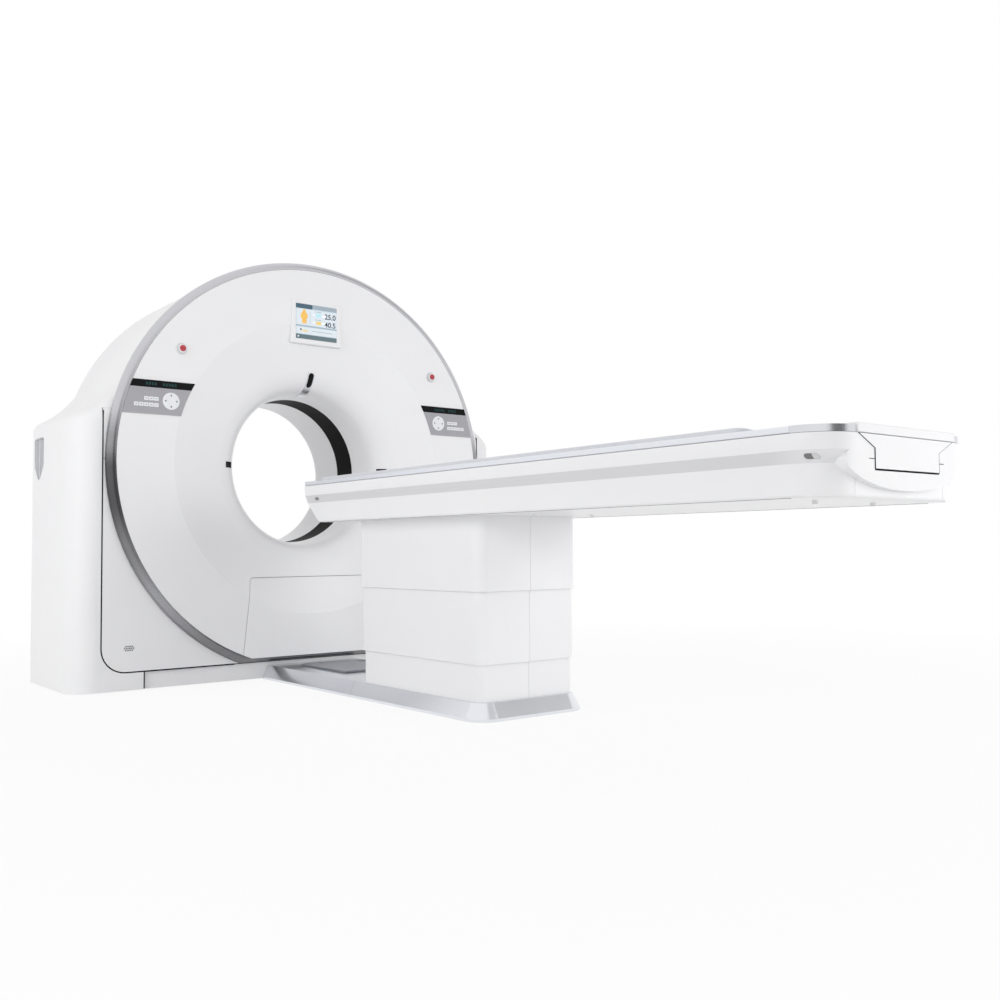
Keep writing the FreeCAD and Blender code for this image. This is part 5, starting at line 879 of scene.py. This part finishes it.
# The lamps: place, point that they aim at, size, and power in watts.
LAMPS = {
    "side_lamp": ((-5.4, -1.9, 2.1), (0.0, -0.9, 0.8), 3.4, 84.0),
    "front_lamp": ((3.0, -6.0, 1.5), (0.0, -1.2, 0.7), 3.0, 84.0),
    "key_lamp": ((-5.2, -10.6, 2.4), (0.0, -1.4, 0.6), 1.8, 108.0),
    "top_lamp": ((0.0, -1.6, 5.2), (0.0, -1.2, 0.0), 3.6, 6.0),
    "rear_lamp": ((2.4, 3.8, 3.0), (0.0, -0.2, 0.9), 3.0, 60.0)}

# The cards: corners, brightness, and the kinds of ray that don't see them.
GLOSS_ONLY = ("camera", "diffuse", "transmission", "volume_scatter", "shadow")
CARDS = {
    "camera_side_card": (((-4.8, -5.03, 0.0), (-2.2, -7.17, 0.0), (-2.2, -7.17, 3.0), (-4.8, -5.03, 3.0)),
                         0.3, ("camera", "glossy", "shadow")),
    "tail_card": (((-2.7, -9.2, 0.0), (1.7, -9.2, 0.0), (1.7, -9.2, 3.2), (-2.7, -9.2, 3.2)),
                  0.12, GLOSS_ONLY),
    "skirt_card": (((7.78, -10.48, 6.22), (10.92, -4.92, 6.22), (7.02, -2.72, 10.78), (3.88, -8.28, 10.78)),
                   0.5, GLOSS_ONLY)}


def seen_ray(tree):
    """One for rays that show the background, to the camera or in metal and glass."""
    rays = tree.nodes.new("ShaderNodeLightPath")
    shown = worked(tree, rays.outputs["Is Camera Ray"], rays.outputs["Is Glossy Ray"], "MAXIMUM")
    return worked(tree, shown, rays.outputs["Is Transmission Ray"], "MAXIMUM")


def bare_tree(owner):
    """The emptied node tree of a new world or material."""
    owner.use_nodes = True
    owner.node_tree.nodes.clear()
    return owner.node_tree


def surround():
    """An even white surround that lights the object a little less than it shows."""
    world = bpy.data.worlds.new("studio")
    scene.world = world
    tree = bare_tree(world)
    lit, shown = (wired(tree, "ShaderNodeBackground", {"Color": WHITE, "Strength": strength}).outputs[0]
                  for strength in (LIT_LEVEL, 1.0))
    mixed = wired(tree, "ShaderNodeMixShader", {0: seen_ray(tree), 1: lit, 2: shown})
    wired(tree, "ShaderNodeOutputWorld", {0: mixed.outputs[0]})


def flat_stage(name, corners, material):
    """A flat stage piece: the floor or a card."""
    mesh = bpy.data.meshes.new(name)
    mesh.from_pydata(corners, [], [tuple(range(len(corners)))])
    mesh.materials.append(material)
    piece = bpy.data.objects.new(name, mesh)
    scene.collection.objects.link(piece)
    return piece


def pale_floor():
    """A pale floor that keeps the object's shadow near it and fades to white farther off."""
    material = bpy.data.materials.new("pale_floor")
    tree = bare_tree(material)
    matt = wired(tree, "ShaderNodeBsdfDiffuse", {"Color": FLOOR_TONE})
    white = wired(tree, "ShaderNodeEmission", {"Strength": 1.0})
    distance = wired(tree, "ShaderNodeVectorMath", {
        0: tree.nodes.new("ShaderNodeTexCoord").outputs["Object"], 1: FADE_CENTRE}, operation="DISTANCE")
    fade = spread(tree, distance.outputs["Value"], FADE_NEAR, FADE_FAR, FADE_START, 1.0)
    mixed = wired(tree, "ShaderNodeMixShader", {
        0: worked(tree, seen_ray(tree), fade, "MULTIPLY"), 1: matt.outputs[0], 2: white.outputs[0]})
    wired(tree, "ShaderNodeOutputMaterial", {0: mixed.outputs[0]})
    corners = [(across * FLOOR_REACH, along * FLOOR_REACH, FLOOR_DROP)
               for across, along in ((-1, -1), (1, -1), (1, 1), (-1, 1))]
    flat_stage("floor", corners, material)


def card(name, corners, level, hidden_from):
    """A glowing card that the camera never sees; it lights the object, or shows in what it mirrors."""
    material = bpy.data.materials.new(name)
    tree = bare_tree(material)
    glow = wired(tree, "ShaderNodeEmission", {"Strength": level})
    wired(tree, "ShaderNodeOutputMaterial", {0: glow.outputs[0]})
    piece = flat_stage(name, corners, material)
    for ray in hidden_from:
        setattr(piece, f"visible_{ray}", False)


def square_lamp(name, place, aim, size, power):
    """A soft square lamp that doesn't show in what mirrors it."""
    lamp = bpy.data.lights.new(name, "AREA")
    lamp.shape = "SQUARE"
    lamp.size = size
    lamp.energy = power
    holder = bpy.data.objects.new(name, lamp)
    holder.location = place
    holder.rotation_mode = "QUATERNION"
    holder.rotation_quaternion = (Vector(aim) - Vector(place)).to_track_quat("-Z", "Y")
    holder.visible_glossy = False
    scene.collection.objects.link(holder)


# ---------------------------------------------------------------- the scene

scene.view_settings.view_transform = "Standard"
photograph_camera()
surround()
pale_floor()
for lamp_name, lamp_facts in LAMPS.items():
    square_lamp(lamp_name, *lamp_facts)
for card_name, card_facts in CARDS.items():
    card(card_name, *card_facts)

dress_nodes()
for node_name, rounding_facts in ROUNDED.items():
    softened(node_name, *rounding_facts)
camera_window()
stop_buttons()
panel_marks()
cover_gap_shadows()
beam_gap_shadows()
speaker_dots()
screen_panes()
screen_readings()
